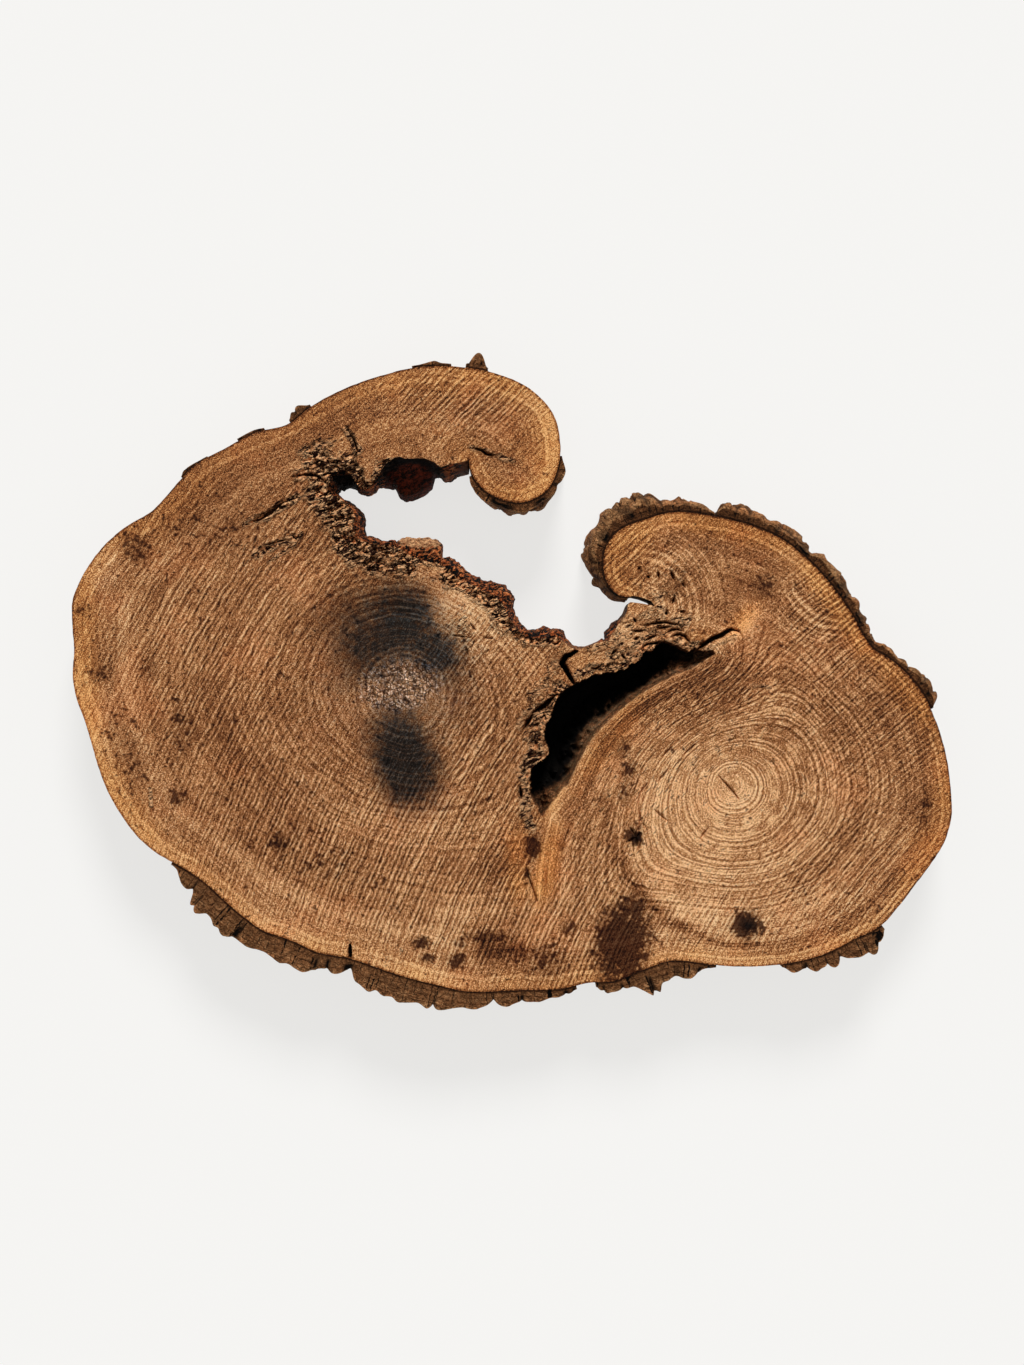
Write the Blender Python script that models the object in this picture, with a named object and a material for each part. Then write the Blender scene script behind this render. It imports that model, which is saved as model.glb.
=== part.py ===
"""Walnut slice: one slab cross-cut from a twin-stemmed walnut trunk, lying on its back face.

The right stem has rolled round into a curl and the left stem into a scroll, with a rotted bay between
them that is open to the outside. A blind rotted cavity runs down the seam where the stems meet. Bark
still holds on to parts of the rim, in strips and chips that have come apart from each other.

Frame: metres, +Z up through the thickness, origin on the resting face under the middle of the slab.
Lengths in this file are millimetres until they go into a mesh: x to the right and y up the cut face.
"""

import random

import bmesh
import bpy
import numpy as np

MM = 0.001

# Driving dimensions
THICKNESS = 75.0
BARK_GAP = 0.3
WALL_ROWS = (0.0, 22.0, 48.0, THICKNESS)
STATION_STEP = 11.0
CURVE_STEP = 0.5
NORMAL_REACH = 4.0

# The rim is the live edge, just inside the bark: from the curl, down the right side, along the bottom,
# up the left side and over the top to the end of the scroll.
RIM_CURL = [
    (116, 83.5), (108, 85.5), (94, 102), (91.5, 114), (92, 126), (101, 145), (109, 151.5), (133, 161.5),
    (160, 168.5), (176, 168.5), (208, 163.5), (238, 156), (268, 143), (296, 121), (320, 95), (339, 68),
]
RIM_RIGHT = [
    (354, 41), (361, 32), (373, 25), (395, 7), (412, -15), (424, -41), (434, -74), (439, -112), (440, -127),
    (434, -157), (428, -169), (406, -200), (386, -226), (371, -243),
]
RIM_BOTTOM = [
    (343, -258), (310, -274), (278, -282), (243, -285.5), (203, -284), (174, -280), (160, -279.5),
    (133, -288), (103, -300), (76, -302), (48, -308), (8, -309), (-48, -310), (-77, -303.5), (-107, -296),
    (-137, -286), (-164, -277), (-192, -272), (-222, -259), (-250, -249), (-272, -233), (-312, -198),
    (-332, -185),
]
RIM_LEFT = [
    (-354, -173), (-374, -156), (-392, -132), (-408, -102), (-415, -81), (-425.5, -45), (-437, -11),
    (-439, 1), (-438, 31), (-440, 63), (-440, 77), (-432, 100), (-415, 127), (-388, 153), (-360, 170),
    (-336, 196), (-317, 216),
]
RIM_TOP = [
    (-290, 231), (-257, 248), (-222, 258), (-200, 275), (-172, 290), (-132, 305), (-92, 314), (-52, 314),
    (-15, 307), (18, 292), (41, 267),
]
RIM_SCROLL = [(48, 239), (46, 214), (35, 191), (13, 179), (-12, 182), (-31, 194), (-42, 213), (-43, 222)]

# The bay's broken edge, from the scroll to the slot under the curl: the place on the front face, then how
# far the rotted wall stands out from it deeper down.
BAY_CEILING = [
    (-46, 220, 0, -10), (-56, 218, 1, -9), (-64, 217, 2, -13), (-71, 214, 3, -11), (-76, 218, 4, -9),
    (-82, 221, 4, -14), (-88, 223, 7, -28), (-95, 223.5, 7, -35), (-101, 223, 3, -39), (-107, 223, 0, -42),
    (-113, 225, -1, -41), (-119, 223, 1, -29), (-125, 219, 0, -24), (-129, 214, -2, -18), (-133, 207, -3, -11),
    (-137, 201, -3, -8), (-142, 195, -2, -5), (-148, 192, -1, -3), (-154, 195, -1, -3), (-158, 201, -2, -4),
    (-162, 208, -2, -11), (-168, 210, -1, -14), (-175, 210, 2, -15), (-181, 207, 6, -14), (-182, 200, 6, -8),
    (-185, 193, 9, -3),
]
BAY_FLOOR = [
    (-182, 187, 8, 2), (-174, 185, 5, -1), (-166, 178, 3, 2), (-160, 171, 5, 3), (-157, 163, 7, 2),
    (-158, 154, 9, 2), (-157, 145, 9, 3), (-150, 140, 9, 5), (-140, 137, 8, 5.5), (-130, 136, 7, 6),
    (-120, 135, 4, 8), (-112, 132, 1, 15), (-102, 125, 2, 22), (-92, 121, 5, 25), (-82, 118, 8, 26),
    (-75, 118, 5, 21), (-71, 116, 0, 10), (-66, 112, 3, 13), (-58, 106, 2, 16), (-50, 101, 3, 14),
    (-41, 97, 4, 11), (-32, 92, 3, 12), (-23, 87, 6, 14), (-15, 82, 9, 15), (-9, 76, 13, 8), (-6, 69, 8, 7),
    (-2, 62, 6, 6), (4, 54, 4, 6), (8, 47, 8, 5.5), (18, 43, 7, 10.5), (29, 42, 6, 11), (39, 43, 4, 11),
    (46, 43, 4, 9), (52, 39, 4, 5), (57, 34, 4, 4), (65, 31, 2, 4), (75, 34, 1, 2), (85, 38, 1, 1.5),
    (95, 40, -2, 2), (100, 47, -5, 4), (105, 54, -4, 4.5), (110, 61, -2, 2), (115, 69, -2, 0), (116, 76, 0, 0),
]
SLOT = [
    (118, 79, 0, 0), (130, 77.5, 0, 0), (143, 75, 0, 0), (139, 80, 0, 0), (130, 83.5, 0, 0), (121, 85.5, 0, 0),
]
# How much of that reach the wall has at each row, from the back face up to the front face
REACH_AT_ROW = (0.85, 1.0, 0.8, 0.0)

# The cavity's upright lip and its sloping bank, both from the right-hand tip down to the lower one
LIP = [
    (200, 31), (176, 32), (156, 38), (136, 29), (117, 16), (106, 9), (83, 6), (64, -2), (48, -13), (40, -30),
    (33, -49), (34, -73), (21, -85), (18, -97), (22, -121), (27, -132),
]
BANK = [
    (204, 27), (184, 13), (157, 1), (133, -12), (109, -30), (90, -49), (74, -69), (63, -91), (52, -112),
    (38, -127), (31, -136),
]
CAVITY_DEPTH = 60.0
CAVITY_TIP_SHARE = 0.25
CAVITY_TIP_LENGTHS = (0.25, 0.2)
CAVITY_SECTIONS = 26
# The cavity's section: how far across from lip to bank, and what share of the depth
CAVITY_SECTION = ((0.0, 0.0), (0.05, 0.62), (0.12, 1.0), (0.46, 1.0), (0.72, 0.55), (1.0, 0.0))
CUT_CLEARANCE = 3.0

# Cracks and gouges in the front face: the line, the width at its middle and the depth. The bark crack
# keeps its full section up to its ends, because it opens through the slab's edge.
GROOVE_TIP = 0.12
OPEN_GROOVE = "bark_crack"
GROOVES = {
    "crack_to_bay": ([(64, -6), (56, 8), (50, 18), (55, 25), (63, 29), (71, 36)], 7, 45),
    "cavity_tail": ([(184, 30), (200, 42), (210, 46), (219, 52), (227, 50)], 7, 25),
    "gouge": ([(-266, 157), (-254, 161), (-242, 169), (-230, 179), (-218, 182)], 10, 10),
    "lower_gouge": ([(-256, 127), (-246, 136), (-232, 140), (-212, 144)], 6, 5),
    "scroll_fold": ([(-40, 235), (-30, 232), (-20, 227), (-9, 222), (2, 221)], 4, 14),
    "top_crack": ([(-165, 253), (-159, 243), (-155, 231), (-160, 218)], 5, 9),
    "bay_crack": ([(-220, 204), (-208, 207), (-196, 206), (-184, 197)], 4, 12),
    "bark_crack": ([(-162, -262), (-162, -270), (-162, -282)], 4, 62),
    "pith_crack": ([(207, -95), (218, -107), (228, -119)], 3, 14),
    "bark_seam": ([(14, -146), (15, -164), (14, -187), (21, -209), (27, -226)], 4, 9),
    "fringe_hole": ([(20, -32), (32, -25), (44, -14)], 8, 22),
    "fringe_pit": ([(12, -48), (17, -40), (21, -33)], 8, 16),
    "side_pit": ([(8, -105), (9, -112), (9, -119)], 5, 14),
    "ring_shake": ([(128, -110), (126, -124), (128, -138), (137, -152)], 3, 6),
}

# Each bark piece: the line of its outside, the share of that thickness it has at the front and at the back
# face, and the lowest and highest z that it covers
BARK = {
    "bark_curl": (
        [(116, 81), (108, 82), (98, 87), (88, 97), (81, 109), (76, 121), (75, 133), (78, 142), (82, 150),
         (90, 160), (92, 168), (100, 177), (109, 179), (116, 185), (126, 190), (137, 189.5), (143, 184),
         (158, 182), (168, 185), (174, 181), (190, 177), (198, 173), (203, 170)],
        0.5, 1.0, 0.0, THICKNESS),
    "bark_upper_right": (
        [(206, 170), (207, 176), (211, 181), (217, 182), (229, 180), (241, 175), (253, 170), (258, 162),
         (266, 163), (281, 153), (297, 140), (305, 130), (315, 130), (323, 118), (336, 104), (339, 93),
         (351, 81), (353, 69), (360, 64), (367, 41), (375, 39), (385, 31), (388, 24), (397, 22), (403, 14),
         (417, 4), (425, 4), (430, -14), (426, -22), (417, -29)],
        0.45, 1.0, 0.0, THICKNESS),
    "bark_lower_right": (
        [(372, -247), (370, -253), (368, -262), (366, -270), (360, -274), (353, -272), (346, -275),
         (329, -276), (327, -282), (321, -285), (308, -284), (305, -288), (281, -290), (270, -285.5)],
        1.0, 0.9, 0.0, THICKNESS),
    "bark_lower_middle": (
        [(204, -286), (191, -288), (186, -293), (181, -297), (173, -298), (164, -296), (156, -300),
         (150, -302), (149, -315), (145, -318), (141, -315), (140, -303), (122, -305), (111, -309),
         (100, -309), (94, -313), (89, -310), (84, -304)],
        1.0, 0.85, 0.0, THICKNESS),
    "bark_lower_left": (
        [(65, -307.5), (58, -314), (37, -317), (28, -321), (3, -322), (-4, -325), (-20, -320), (-37, -327),
         (-49, -325), (-56, -327), (-85, -325), (-93, -319), (-114, -319), (-119, -313), (-129, -312),
         (-135, -306), (-142, -309), (-158, -300), (-162, -287), (-166, -293), (-180, -292), (-192, -287),
         (-197, -290), (-208, -290), (-232, -281), (-254, -267), (-271, -260), (-282, -258), (-289, -252),
         (-292, -243), (-297, -245), (-306, -230), (-310, -232), (-317, -230), (-322, -222), (-318, -211),
         (-325, -207), (-330, -202), (-334, -189), (-341, -183)],
        1.0, 0.9, 0.0, THICKNESS),
    "bark_chip_shoulder": ([(-331, 204), (-329, 211), (-324, 214), (-313, 220), (-305, 224)], 1.0, 0.7, 30.0, 72.0),
    "bark_crust_left": ([(-275, 242), (-268, 246), (-258, 251), (-248, 253)], 1.0, 0.8, 25.0, 73.0),
    "bark_chip_left": ([(-223, 260), (-221, 268), (-217, 273), (-209, 275), (-202, 276)], 1.0, 0.7, 22.0, 73.0),
    "bark_crust_top": ([(-100, 315), (-93, 316), (-77, 320), (-72, 318), (-61, 317)], 1.0, 0.8, 25.0, 74.0),
    "bark_chip_top": ([(-46, 316), (-41, 322), (-37, 326), (-31, 325), (-27, 318), (-24, 312)], 1.0, 0.6, 28.0, 74.0),
    "bark_scroll": (
        [(50, 225), (52, 218), (56, 210), (54, 203), (49, 196), (41, 184), (33, 176), (20, 170), (6, 166),
         (-9, 168), (-20, 173), (-30, 180), (-37, 189), (-42, 198), (-43, 204)],
        0.85, 1.0, 0.0, THICKNESS),
}
BARK_ROWS = 5
BARK_FLARE = 1.5
LEAST_BARK = 1.2
BARK_ROUGHNESS = 0.12
BARK_SEED = 7

WOOD_COLOUR = (0.36, 0.2, 0.1, 1)
WOOD_ROUGHNESS = 0.75
BARK_COLOUR = (0.16, 0.1, 0.065, 1)
BARK_MATT = 0.9


def smooth_curve(points, step):
    """A cubic through the points, each tangent set by its neighbours, sampled about one step apart."""
    points = np.array(points, float)
    chord = np.linalg.norm(np.diff(points, axis=0), axis=1)
    along = np.concatenate([[0], np.cumsum(chord)])
    tangent = np.gradient(points, along, axis=0)
    places = np.arange(0, along[-1], step)
    i = np.searchsorted(along, places, side="right") - 1
    t = ((places - along[i]) / chord[i])[:, None]
    length = chord[i][:, None]
    start, end = points[i], points[i + 1]
    inner = (
        (2 * t**3 - 3 * t**2 + 1) * start
        + (t**3 - 2 * t**2 + t) * length * tangent[i]
        + (3 * t**2 - 2 * t**3) * end
        + (t**3 - t**2) * length * tangent[i + 1]
    )
    return np.vstack([inner, points[-1]])


RIM = smooth_curve(RIM_CURL + RIM_RIGHT + RIM_BOTTOM + RIM_LEFT + RIM_TOP + RIM_SCROLL, CURVE_STEP)
RIM_AT = np.concatenate([[0], np.cumsum(np.linalg.norm(np.diff(RIM, axis=0), axis=1))])


def rim_point(place):
    """The point of the rim at a distance along it, or an array of them."""
    return np.stack([np.interp(place, RIM_AT, RIM[:, k]) for k in (0, 1)], axis=-1)


def rim_normal(place):
    """The outward direction there. The rim runs clockwise seen from above, so outward is on its left."""
    ahead = rim_point(np.minimum(place + NORMAL_REACH, RIM_AT[-1]))
    along = ahead - rim_point(np.maximum(place - NORMAL_REACH, 0))
    outward = np.stack([-along[..., 1], along[..., 0]], axis=-1)
    return outward / np.linalg.norm(outward, axis=-1, keepdims=True)


def bark_profile(outside):
    """Where each point of a bark's outside line stands along the rim, in rising order, and how far out."""
    outside = np.array(outside, float)
    distance = np.linalg.norm(outside[:, None] - RIM[None], axis=2)
    nearest = distance.argmin(axis=1)
    order = np.argsort(RIM_AT[nearest])
    place = RIM_AT[nearest][order]
    depth = distance.min(axis=1)[order]
    apart = np.concatenate([[True], np.diff(place) > CURVE_STEP])
    return place[apart], np.maximum(depth[apart], LEAST_BARK)


def rim_stations():
    """The places along the rim that have a column of the wall: even steps and every corner of the bark."""
    even = np.linspace(0, RIM_AT[-1], round(RIM_AT[-1] / STATION_STEP) + 1)
    corners = np.concatenate([bark_profile(spec[0])[0] for spec in BARK.values()])
    clear = np.abs(even[:, None] - corners[None]).min(axis=1) > STATION_STEP / 3
    clear[[0, -1]] = True
    return np.unique(np.concatenate([even[clear], corners]))


def mesh_object(name, bm):
    """One named object from a bmesh in millimetres."""
    bmesh.ops.recalc_face_normals(bm, faces=bm.faces)
    bmesh.ops.scale(bm, vec=(MM, MM, MM), verts=bm.verts)
    mesh = bpy.data.meshes.new(name)
    bm.to_mesh(mesh)
    bm.free()
    obj = bpy.data.objects.new(name, mesh)
    bpy.context.scene.collection.objects.link(obj)
    return obj


def paint(obj, colour, roughness):
    """The object's own material."""
    made = bpy.data.materials.new(obj.name)
    made.use_nodes = True
    shader = made.node_tree.nodes["Principled BSDF"]
    shader.inputs["Base Color"].default_value = colour
    shader.inputs["Roughness"].default_value = roughness
    shader.inputs["Metallic"].default_value = 0.0
    obj.data.materials.append(made)


def loft(bm, loops):
    """Faces between each closed loop of points and the next, with the first and last loops capped."""
    rows = [[bm.verts.new(point) for point in loop] for loop in loops]
    count = len(rows[0])
    for low, high in zip(rows, rows[1:]):
        for i in range(count):
            k = (i + 1) % count
            bm.faces.new((low[i], low[k], high[k], high[i]))
    bm.faces.new(rows[0])
    bm.faces.new(rows[-1])


def wood_loops():
    """The slab's outline at each row: the rim goes straight through, and the bay's wall stands out."""
    rim = rim_point(rim_stations())
    bay = np.array(BAY_CEILING + BAY_FLOOR + SLOT, float)
    loops = []
    for z, share in zip(WALL_ROWS, REACH_AT_ROW):
        outline = np.vstack([rim, bay[:, :2] + share * bay[:, 2:]])
        loops.append([(x, y, z) for x, y in outline])
    return loops


def cavity_cutter():
    """The cavity's space: a section from lip to bank at each step, shallower towards both tips."""
    bm = bmesh.new()
    lip, bank = (smooth_curve(side, CURVE_STEP) for side in (LIP, BANK))
    loops = []
    for u in np.linspace(0, 1, CAVITY_SECTIONS):
        a = lip[round(u * (len(lip) - 1))]
        b = bank[round(u * (len(bank) - 1))]
        deep = min(1, u / CAVITY_TIP_LENGTHS[0], (1 - u) / CAVITY_TIP_LENGTHS[1])
        depth = CAVITY_DEPTH * (CAVITY_TIP_SHARE + (1 - CAVITY_TIP_SHARE) * deep)
        loop = [(*(a + across * (b - a)), THICKNESS - share * depth) for across, share in CAVITY_SECTION]
        loops.append([(*a, THICKNESS + CUT_CLEARANCE), *loop, (*b, THICKNESS + CUT_CLEARANCE)])
    loft(bm, loops)
    return mesh_object("cavity_cutter", bm)


def groove_cutter(name, line, width, depth):
    """A V-shaped trench along a line, narrowing and shoaling to its two ends."""
    bm = bmesh.new()
    line = np.array(line, float)
    along = np.gradient(line, axis=0)
    side = np.stack([-along[:, 1], along[:, 0]], axis=1) / np.linalg.norm(along, axis=1)[:, None]
    full = np.sin(np.linspace(GROOVE_TIP, np.pi - GROOVE_TIP, len(line)))
    if name == OPEN_GROOVE:
        full[:] = 1
    loops = []
    for point, across, share in zip(line, side, full):
        rail = across * width / 2 * share
        left, right = point + rail, point - rail
        top = THICKNESS + CUT_CLEARANCE
        foot = THICKNESS - depth * share
        loops.append([(*left, top), (*left, THICKNESS), (*point, foot), (*right, THICKNESS), (*right, top)])
    loft(bm, loops)
    return mesh_object(name + "_cutter", bm)


def cut(obj, cutter):
    """Takes the cutter's space out of the object."""
    cutter.hide_render = True
    cutter.display_type = "WIRE"
    boolean = obj.modifiers.new(cutter.name, "BOOLEAN")
    boolean.operation = "DIFFERENCE"
    boolean.object = cutter


def build_wood():
    bm = bmesh.new()
    loft(bm, wood_loops())
    wood = mesh_object("wood", bm)
    paint(wood, WOOD_COLOUR, WOOD_ROUGHNESS)
    cut(wood, cavity_cutter())
    for name, (line, width, depth) in GROOVES.items():
        cut(wood, groove_cutter(name, line, width, depth))


def build_bark(name, outside, front, back, low, high, rng):
    """A strip of bark against the rim: an inner sheet that follows the wood and a furrowed outer one."""
    place, depth = bark_profile(outside)
    stations = rim_stations()
    stations = stations[(stations >= place[0]) & (stations <= place[-1])]
    foot, outward = rim_point(stations), rim_normal(stations)
    thick = np.interp(stations, place, depth)
    levels = np.linspace(low, high, BARK_ROWS)
    sheets = []
    for column in range(len(stations)):
        inner, outer = [], []
        for z in levels:
            up = (z - low) / (high - low)
            share = back + (front - back) * up**BARK_FLARE
            rough = 1 if up == 1 else rng.uniform(1 - BARK_ROUGHNESS, 1)
            reach = BARK_GAP + max(LEAST_BARK, thick[column] * share * rough)
            inner.append((*(foot[column] + outward[column] * BARK_GAP), z))
            outer.append((*(foot[column] + outward[column] * reach), z))
        sheets.append(inner + outer[::-1])
    bm = bmesh.new()
    loft(bm, sheets)
    paint(mesh_object(name, bm), BARK_COLOUR, BARK_MATT)


def main():
    for obj in list(bpy.data.objects):
        bpy.data.objects.remove(obj)
    build_wood()
    rng = random.Random(BARK_SEED)
    for name, spec in BARK.items():
        build_bark(name, *spec, rng)


main()
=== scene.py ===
# %% [markdown]
# # A slice of walnut
# A chain saw went square through a walnut trunk just where two stems had grown together, and the slice
# that came off now lies flat on the floor. The right stem has rolled round into a curl, the left one into
# a scroll, and the wood between them has rotted away into an open bay and a deep black cavity.
#
# The slice is nearly all one cut face, so its looks are in three things: an outline that is nowhere
# regular, relief that runs from saw scores to rotten holes, and a figure of rings that bends round every
# edge. All three are worked out here from the same few lines drawn on the cut face.
#
# Lengths are millimetres while a shape is worked out, with x to the right and y up the cut face, and they
# become metres as they go into a mesh.

from types import SimpleNamespace

import bpy
import numpy as np
from mathutils.geometry import delaunay_2d_cdt
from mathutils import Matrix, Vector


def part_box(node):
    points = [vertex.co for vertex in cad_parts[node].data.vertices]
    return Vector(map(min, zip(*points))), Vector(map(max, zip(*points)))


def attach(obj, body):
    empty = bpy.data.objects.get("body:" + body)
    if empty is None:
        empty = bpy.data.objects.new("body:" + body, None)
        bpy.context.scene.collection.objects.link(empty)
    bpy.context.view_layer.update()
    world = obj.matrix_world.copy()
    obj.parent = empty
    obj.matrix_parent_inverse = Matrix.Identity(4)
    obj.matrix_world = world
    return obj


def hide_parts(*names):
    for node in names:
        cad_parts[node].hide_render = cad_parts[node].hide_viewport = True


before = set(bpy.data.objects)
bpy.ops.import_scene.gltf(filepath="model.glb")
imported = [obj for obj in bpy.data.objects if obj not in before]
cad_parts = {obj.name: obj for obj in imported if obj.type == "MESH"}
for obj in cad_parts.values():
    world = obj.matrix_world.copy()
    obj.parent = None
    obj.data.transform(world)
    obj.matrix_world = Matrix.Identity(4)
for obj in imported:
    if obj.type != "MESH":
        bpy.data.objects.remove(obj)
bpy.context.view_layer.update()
MM = 0.001
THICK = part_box("wood")[1][2] / MM
print("slab thickness in mm:", round(THICK, 1))

# %% [markdown]
# ## The camera and the room
# The photograph looks square at the cut face, so the camera hangs straight above the slab with the top of
# the picture towards +Y. One could use an orthographic camera, but a real lens shows a little of the
# bay's walls, so this one stands back about as far as a person would.

# %% Camera
PHOTO_HEIGHT = 1365
PHOTO_CENTRE_Y = -1.5
STAND_BACK = 2600
SENSOR = 36

camera = bpy.data.objects.new("camera", bpy.data.cameras.new("camera"))
camera.data.sensor_width = SENSOR
camera.data.lens = SENSOR * STAND_BACK / PHOTO_HEIGHT
camera.location = (0, PHOTO_CENTRE_Y * MM, (THICK + STAND_BACK) * MM)
bpy.context.scene.collection.objects.link(camera)
bpy.context.scene.camera = camera
print("lens in mm:", round(camera.data.lens, 1))

# %% [markdown]
# Soft light comes from all round, and a broad key light from the top of the picture rakes across the cut
# so that the saw scores and the rot have a lit side and a dark one. The floor is pale paper. It gives off
# some light of its own, as a lit sweep does, so that the shadow on it stays light.

# %% Light and floor
AMBIENT = 0.36
KEY_STRENGTH = 3.1
KEY_TILT = 0.95
KEY_SWING = -0.12
KEY_SOFTNESS = 0.35
FLOOR_SIZE = 30
FLOOR_ALBEDO = 0.2
FLOOR_GLOW = 0.73
FLOOR_DROP = 0.3
PAPER_ROUGHNESS = 0.9
PAPER = (1.0, 0.992, 0.972, 1)

scene = bpy.context.scene
scene.view_settings.view_transform = "Standard"
scene.world = bpy.data.worlds.new("room")
scene.world.use_nodes = True
sky = scene.world.node_tree.nodes["Background"]
sky.inputs["Color"].default_value = (1, 1, 1, 1)
sky.inputs["Strength"].default_value = AMBIENT

key = bpy.data.objects.new("key_light", bpy.data.lights.new("key_light", "SUN"))
key.data.energy = KEY_STRENGTH
key.data.angle = KEY_SOFTNESS
key.rotation_euler = (-KEY_TILT, 0, KEY_SWING)
scene.collection.objects.link(key)

half = FLOOR_SIZE / 2
corners = [(-half, -half, 0), (half, -half, 0), (half, half, 0), (-half, half, 0)]
floor_mesh = bpy.data.meshes.new("floor")
floor_mesh.from_pydata(corners, [], [(0, 1, 2, 3)])
floor = bpy.data.objects.new("floor", floor_mesh)
floor.location.z = -FLOOR_DROP * MM
scene.collection.objects.link(floor)

paper = bpy.data.materials.new("paper")
paper.use_nodes = True
shader = paper.node_tree.nodes["Principled BSDF"]
shader.inputs["Base Color"].default_value = tuple(FLOOR_ALBEDO * c for c in PAPER[:3]) + (1,)
shader.inputs["Roughness"].default_value = PAPER_ROUGHNESS
shader.inputs["Specular IOR Level"].default_value = 0.0
shader.inputs["Emission Color"].default_value = PAPER
shader.inputs["Emission Strength"].default_value = FLOOR_GLOW
floor_mesh.materials.append(paper)
print("floor side in m:", FLOOR_SIZE)

# %% [markdown]
# ## Tools for lines and noise
# Everything on the slice follows lines: the live edge, the broken edge of the bay, cracks. So the first
# tools draw a smooth line through a few points, walk along it in even steps, and tell how far any place
# is from it. Random values on a lattice, blended smoothly, give the unevenness that wood has.

# %% Lines
def steps_along(line):
    """The distance from the line's start to each of its points: the running sum of the chords."""
    return np.concatenate([[0], np.cumsum(np.linalg.norm(np.diff(line, axis=0), axis=1))])


def even_line(points, step):
    """Straight runs between the points, read off at even steps."""
    points = np.array(points, float)
    place = steps_along(points)
    wanted = np.linspace(0, place[-1], max(2, round(place[-1] / step) + 1))
    return np.stack([np.interp(wanted, place, column) for column in points.T], axis=1)


def smooth_line(points, step):
    """A cubic between each two points, with tangents set by their neighbours, read off at even steps."""
    points = np.array(points, float)
    place = steps_along(points)
    tangent = np.gradient(points, place, axis=0)
    wanted = np.linspace(0, place[-1], round(place[-1] / step) + 1)
    i = np.clip(np.searchsorted(place, wanted, side="right") - 1, 0, len(points) - 2)
    chord = np.diff(place)[i][:, None]
    t = (wanted - place[i])[:, None] / chord
    return (
        (2 * t**3 - 3 * t**2 + 1) * points[i]
        + (t**3 - 2 * t**2 + t) * chord * tangent[i]
        + (3 * t**2 - 2 * t**3) * points[i + 1]
        + (t**3 - t**2) * chord * tangent[i + 1]
    )


def squares(points, line):
    """The squared distances |p|^2 - 2 p.q + |q|^2 from each place p to each point q of the line."""
    return np.maximum((points**2).sum(axis=1)[:, None] - 2 * points @ line.T + (line**2).sum(axis=1), 1e-9)


def in_parts(points, line):
    """The places cut into runs, short enough for a table of their distances to the line."""
    return np.array_split(points, max(1, len(points) * len(line) // 4_000_000))


def nearest(points, line):
    """For each place, the distance to the nearest point of the line and that point's number."""
    distance, number = [], []
    for part in in_parts(points, line):
        square = squares(part, line)
        number.append(square.argmin(axis=1))
        distance.append(np.sqrt(square[np.arange(len(part)), number[-1]]))
    return np.concatenate(distance), np.concatenate(number)


def pull(points, line, step):
    """The sum of step / distance^6 over the line: close to a long line it is 3 pi / 8 / distance^5."""
    return np.concatenate([(step / squares(part, line) ** 3).sum(axis=1) for part in in_parts(points, line)])


def inside(points, loop):
    """True where a ray to the right crosses the closed loop an odd number of times."""
    a, b = loop, np.roll(loop, -1, axis=0)
    low, high = np.minimum(a[:, 1], b[:, 1]), np.maximum(a[:, 1], b[:, 1])
    found = np.zeros(len(points), bool)
    for part in np.array_split(np.argsort(points[:, 1]), max(1, len(points) // 1500)):
        x, y = points[part, :1], points[part, 1:]
        level = (high >= y.min()) & (low <= y.max())
        p, q = a[level], b[level]
        spans = (p[:, 1] > y) != (q[:, 1] > y)
        rise = np.where(q[:, 1] == p[:, 1], 1e-9, q[:, 1] - p[:, 1])
        cross = p[:, 0] + (y - p[:, 1]) * (q[:, 0] - p[:, 0]) / rise
        found[part] = (spans & (x < cross)).sum(axis=1) % 2 == 1
    return found


def close_to(points, line, reach):
    """True for the places in the line's bounding box grown by the reach."""
    return ((points > line.min(axis=0) - reach) & (points < line.max(axis=0) + reach)).all(axis=1)


def to_the_left(chord):
    """(x, y) turned to (-y, x) and brought to length one."""
    left = np.stack([-chord[:, 1], chord[:, 0]], axis=1)
    return left / np.linalg.norm(left, axis=1, keepdims=True)


def outward_of(loop, reach=2):
    """Each point's outward direction on a loop that runs clockwise: its chord turned to the left."""
    return to_the_left(np.roll(loop, -reach, axis=0) - np.roll(loop, reach, axis=0))


# %% Noise
TABLE = np.random.default_rng(11).uniform(-1, 1, 4096)


def lattice_noise(points, seed=0):
    """Random values -1..1 at whole-number corners, blended inside each cell by 3t^2 - 2t^3 in x, y and z."""
    points = np.atleast_2d(points)
    if points.shape[1] == 2:
        points = np.column_stack([points, np.full(len(points), 0.5)])
    corner = np.floor(points).astype(np.int64)
    t = points - corner
    t = t * t * (3 - 2 * t)
    total = 0
    for dx in (0, 1):
        for dy in (0, 1):
            for dz in (0, 1):
                x, y, z = (corner + (dx, dy, dz)).T
                key = (x * 73856093) ^ (y * 19349663) ^ (z * 83492791) ^ (seed * 2654435)
                share = np.where(dx, t[:, 0], 1 - t[:, 0]) * np.where(dy, t[:, 1], 1 - t[:, 1])
                total = total + TABLE[key & 4095] * share * np.where(dz, t[:, 2], 1 - t[:, 2])
    return total


def layered_noise(points, size, layers=3, seed=0):
    """Noise at the given size, plus half as much at half the size, and so on."""
    points = np.asarray(points, float) / size
    return sum(lattice_noise(points * 2**k, seed + k) / 2**k for k in range(layers))


def ease(value, low=0.0, high=1.0):
    """0 below low, 1 above high and a smooth step between them."""
    t = np.clip((value - low) / (high - low), 0, 1)
    return t * t * (3 - 2 * t)


# %% [markdown]
# ## The outline
# The live edge is the wood's own surface just under the bark, so it is smooth and a cubic through a few
# points draws it. The bay's edge is broken, so its points are joined by straight runs and then roughened.
# Each point of the bay holds the place on the cut face, how far the rotted wall stands out from there
# deeper down, and how wide a band of the face is rotten beside it.

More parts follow.
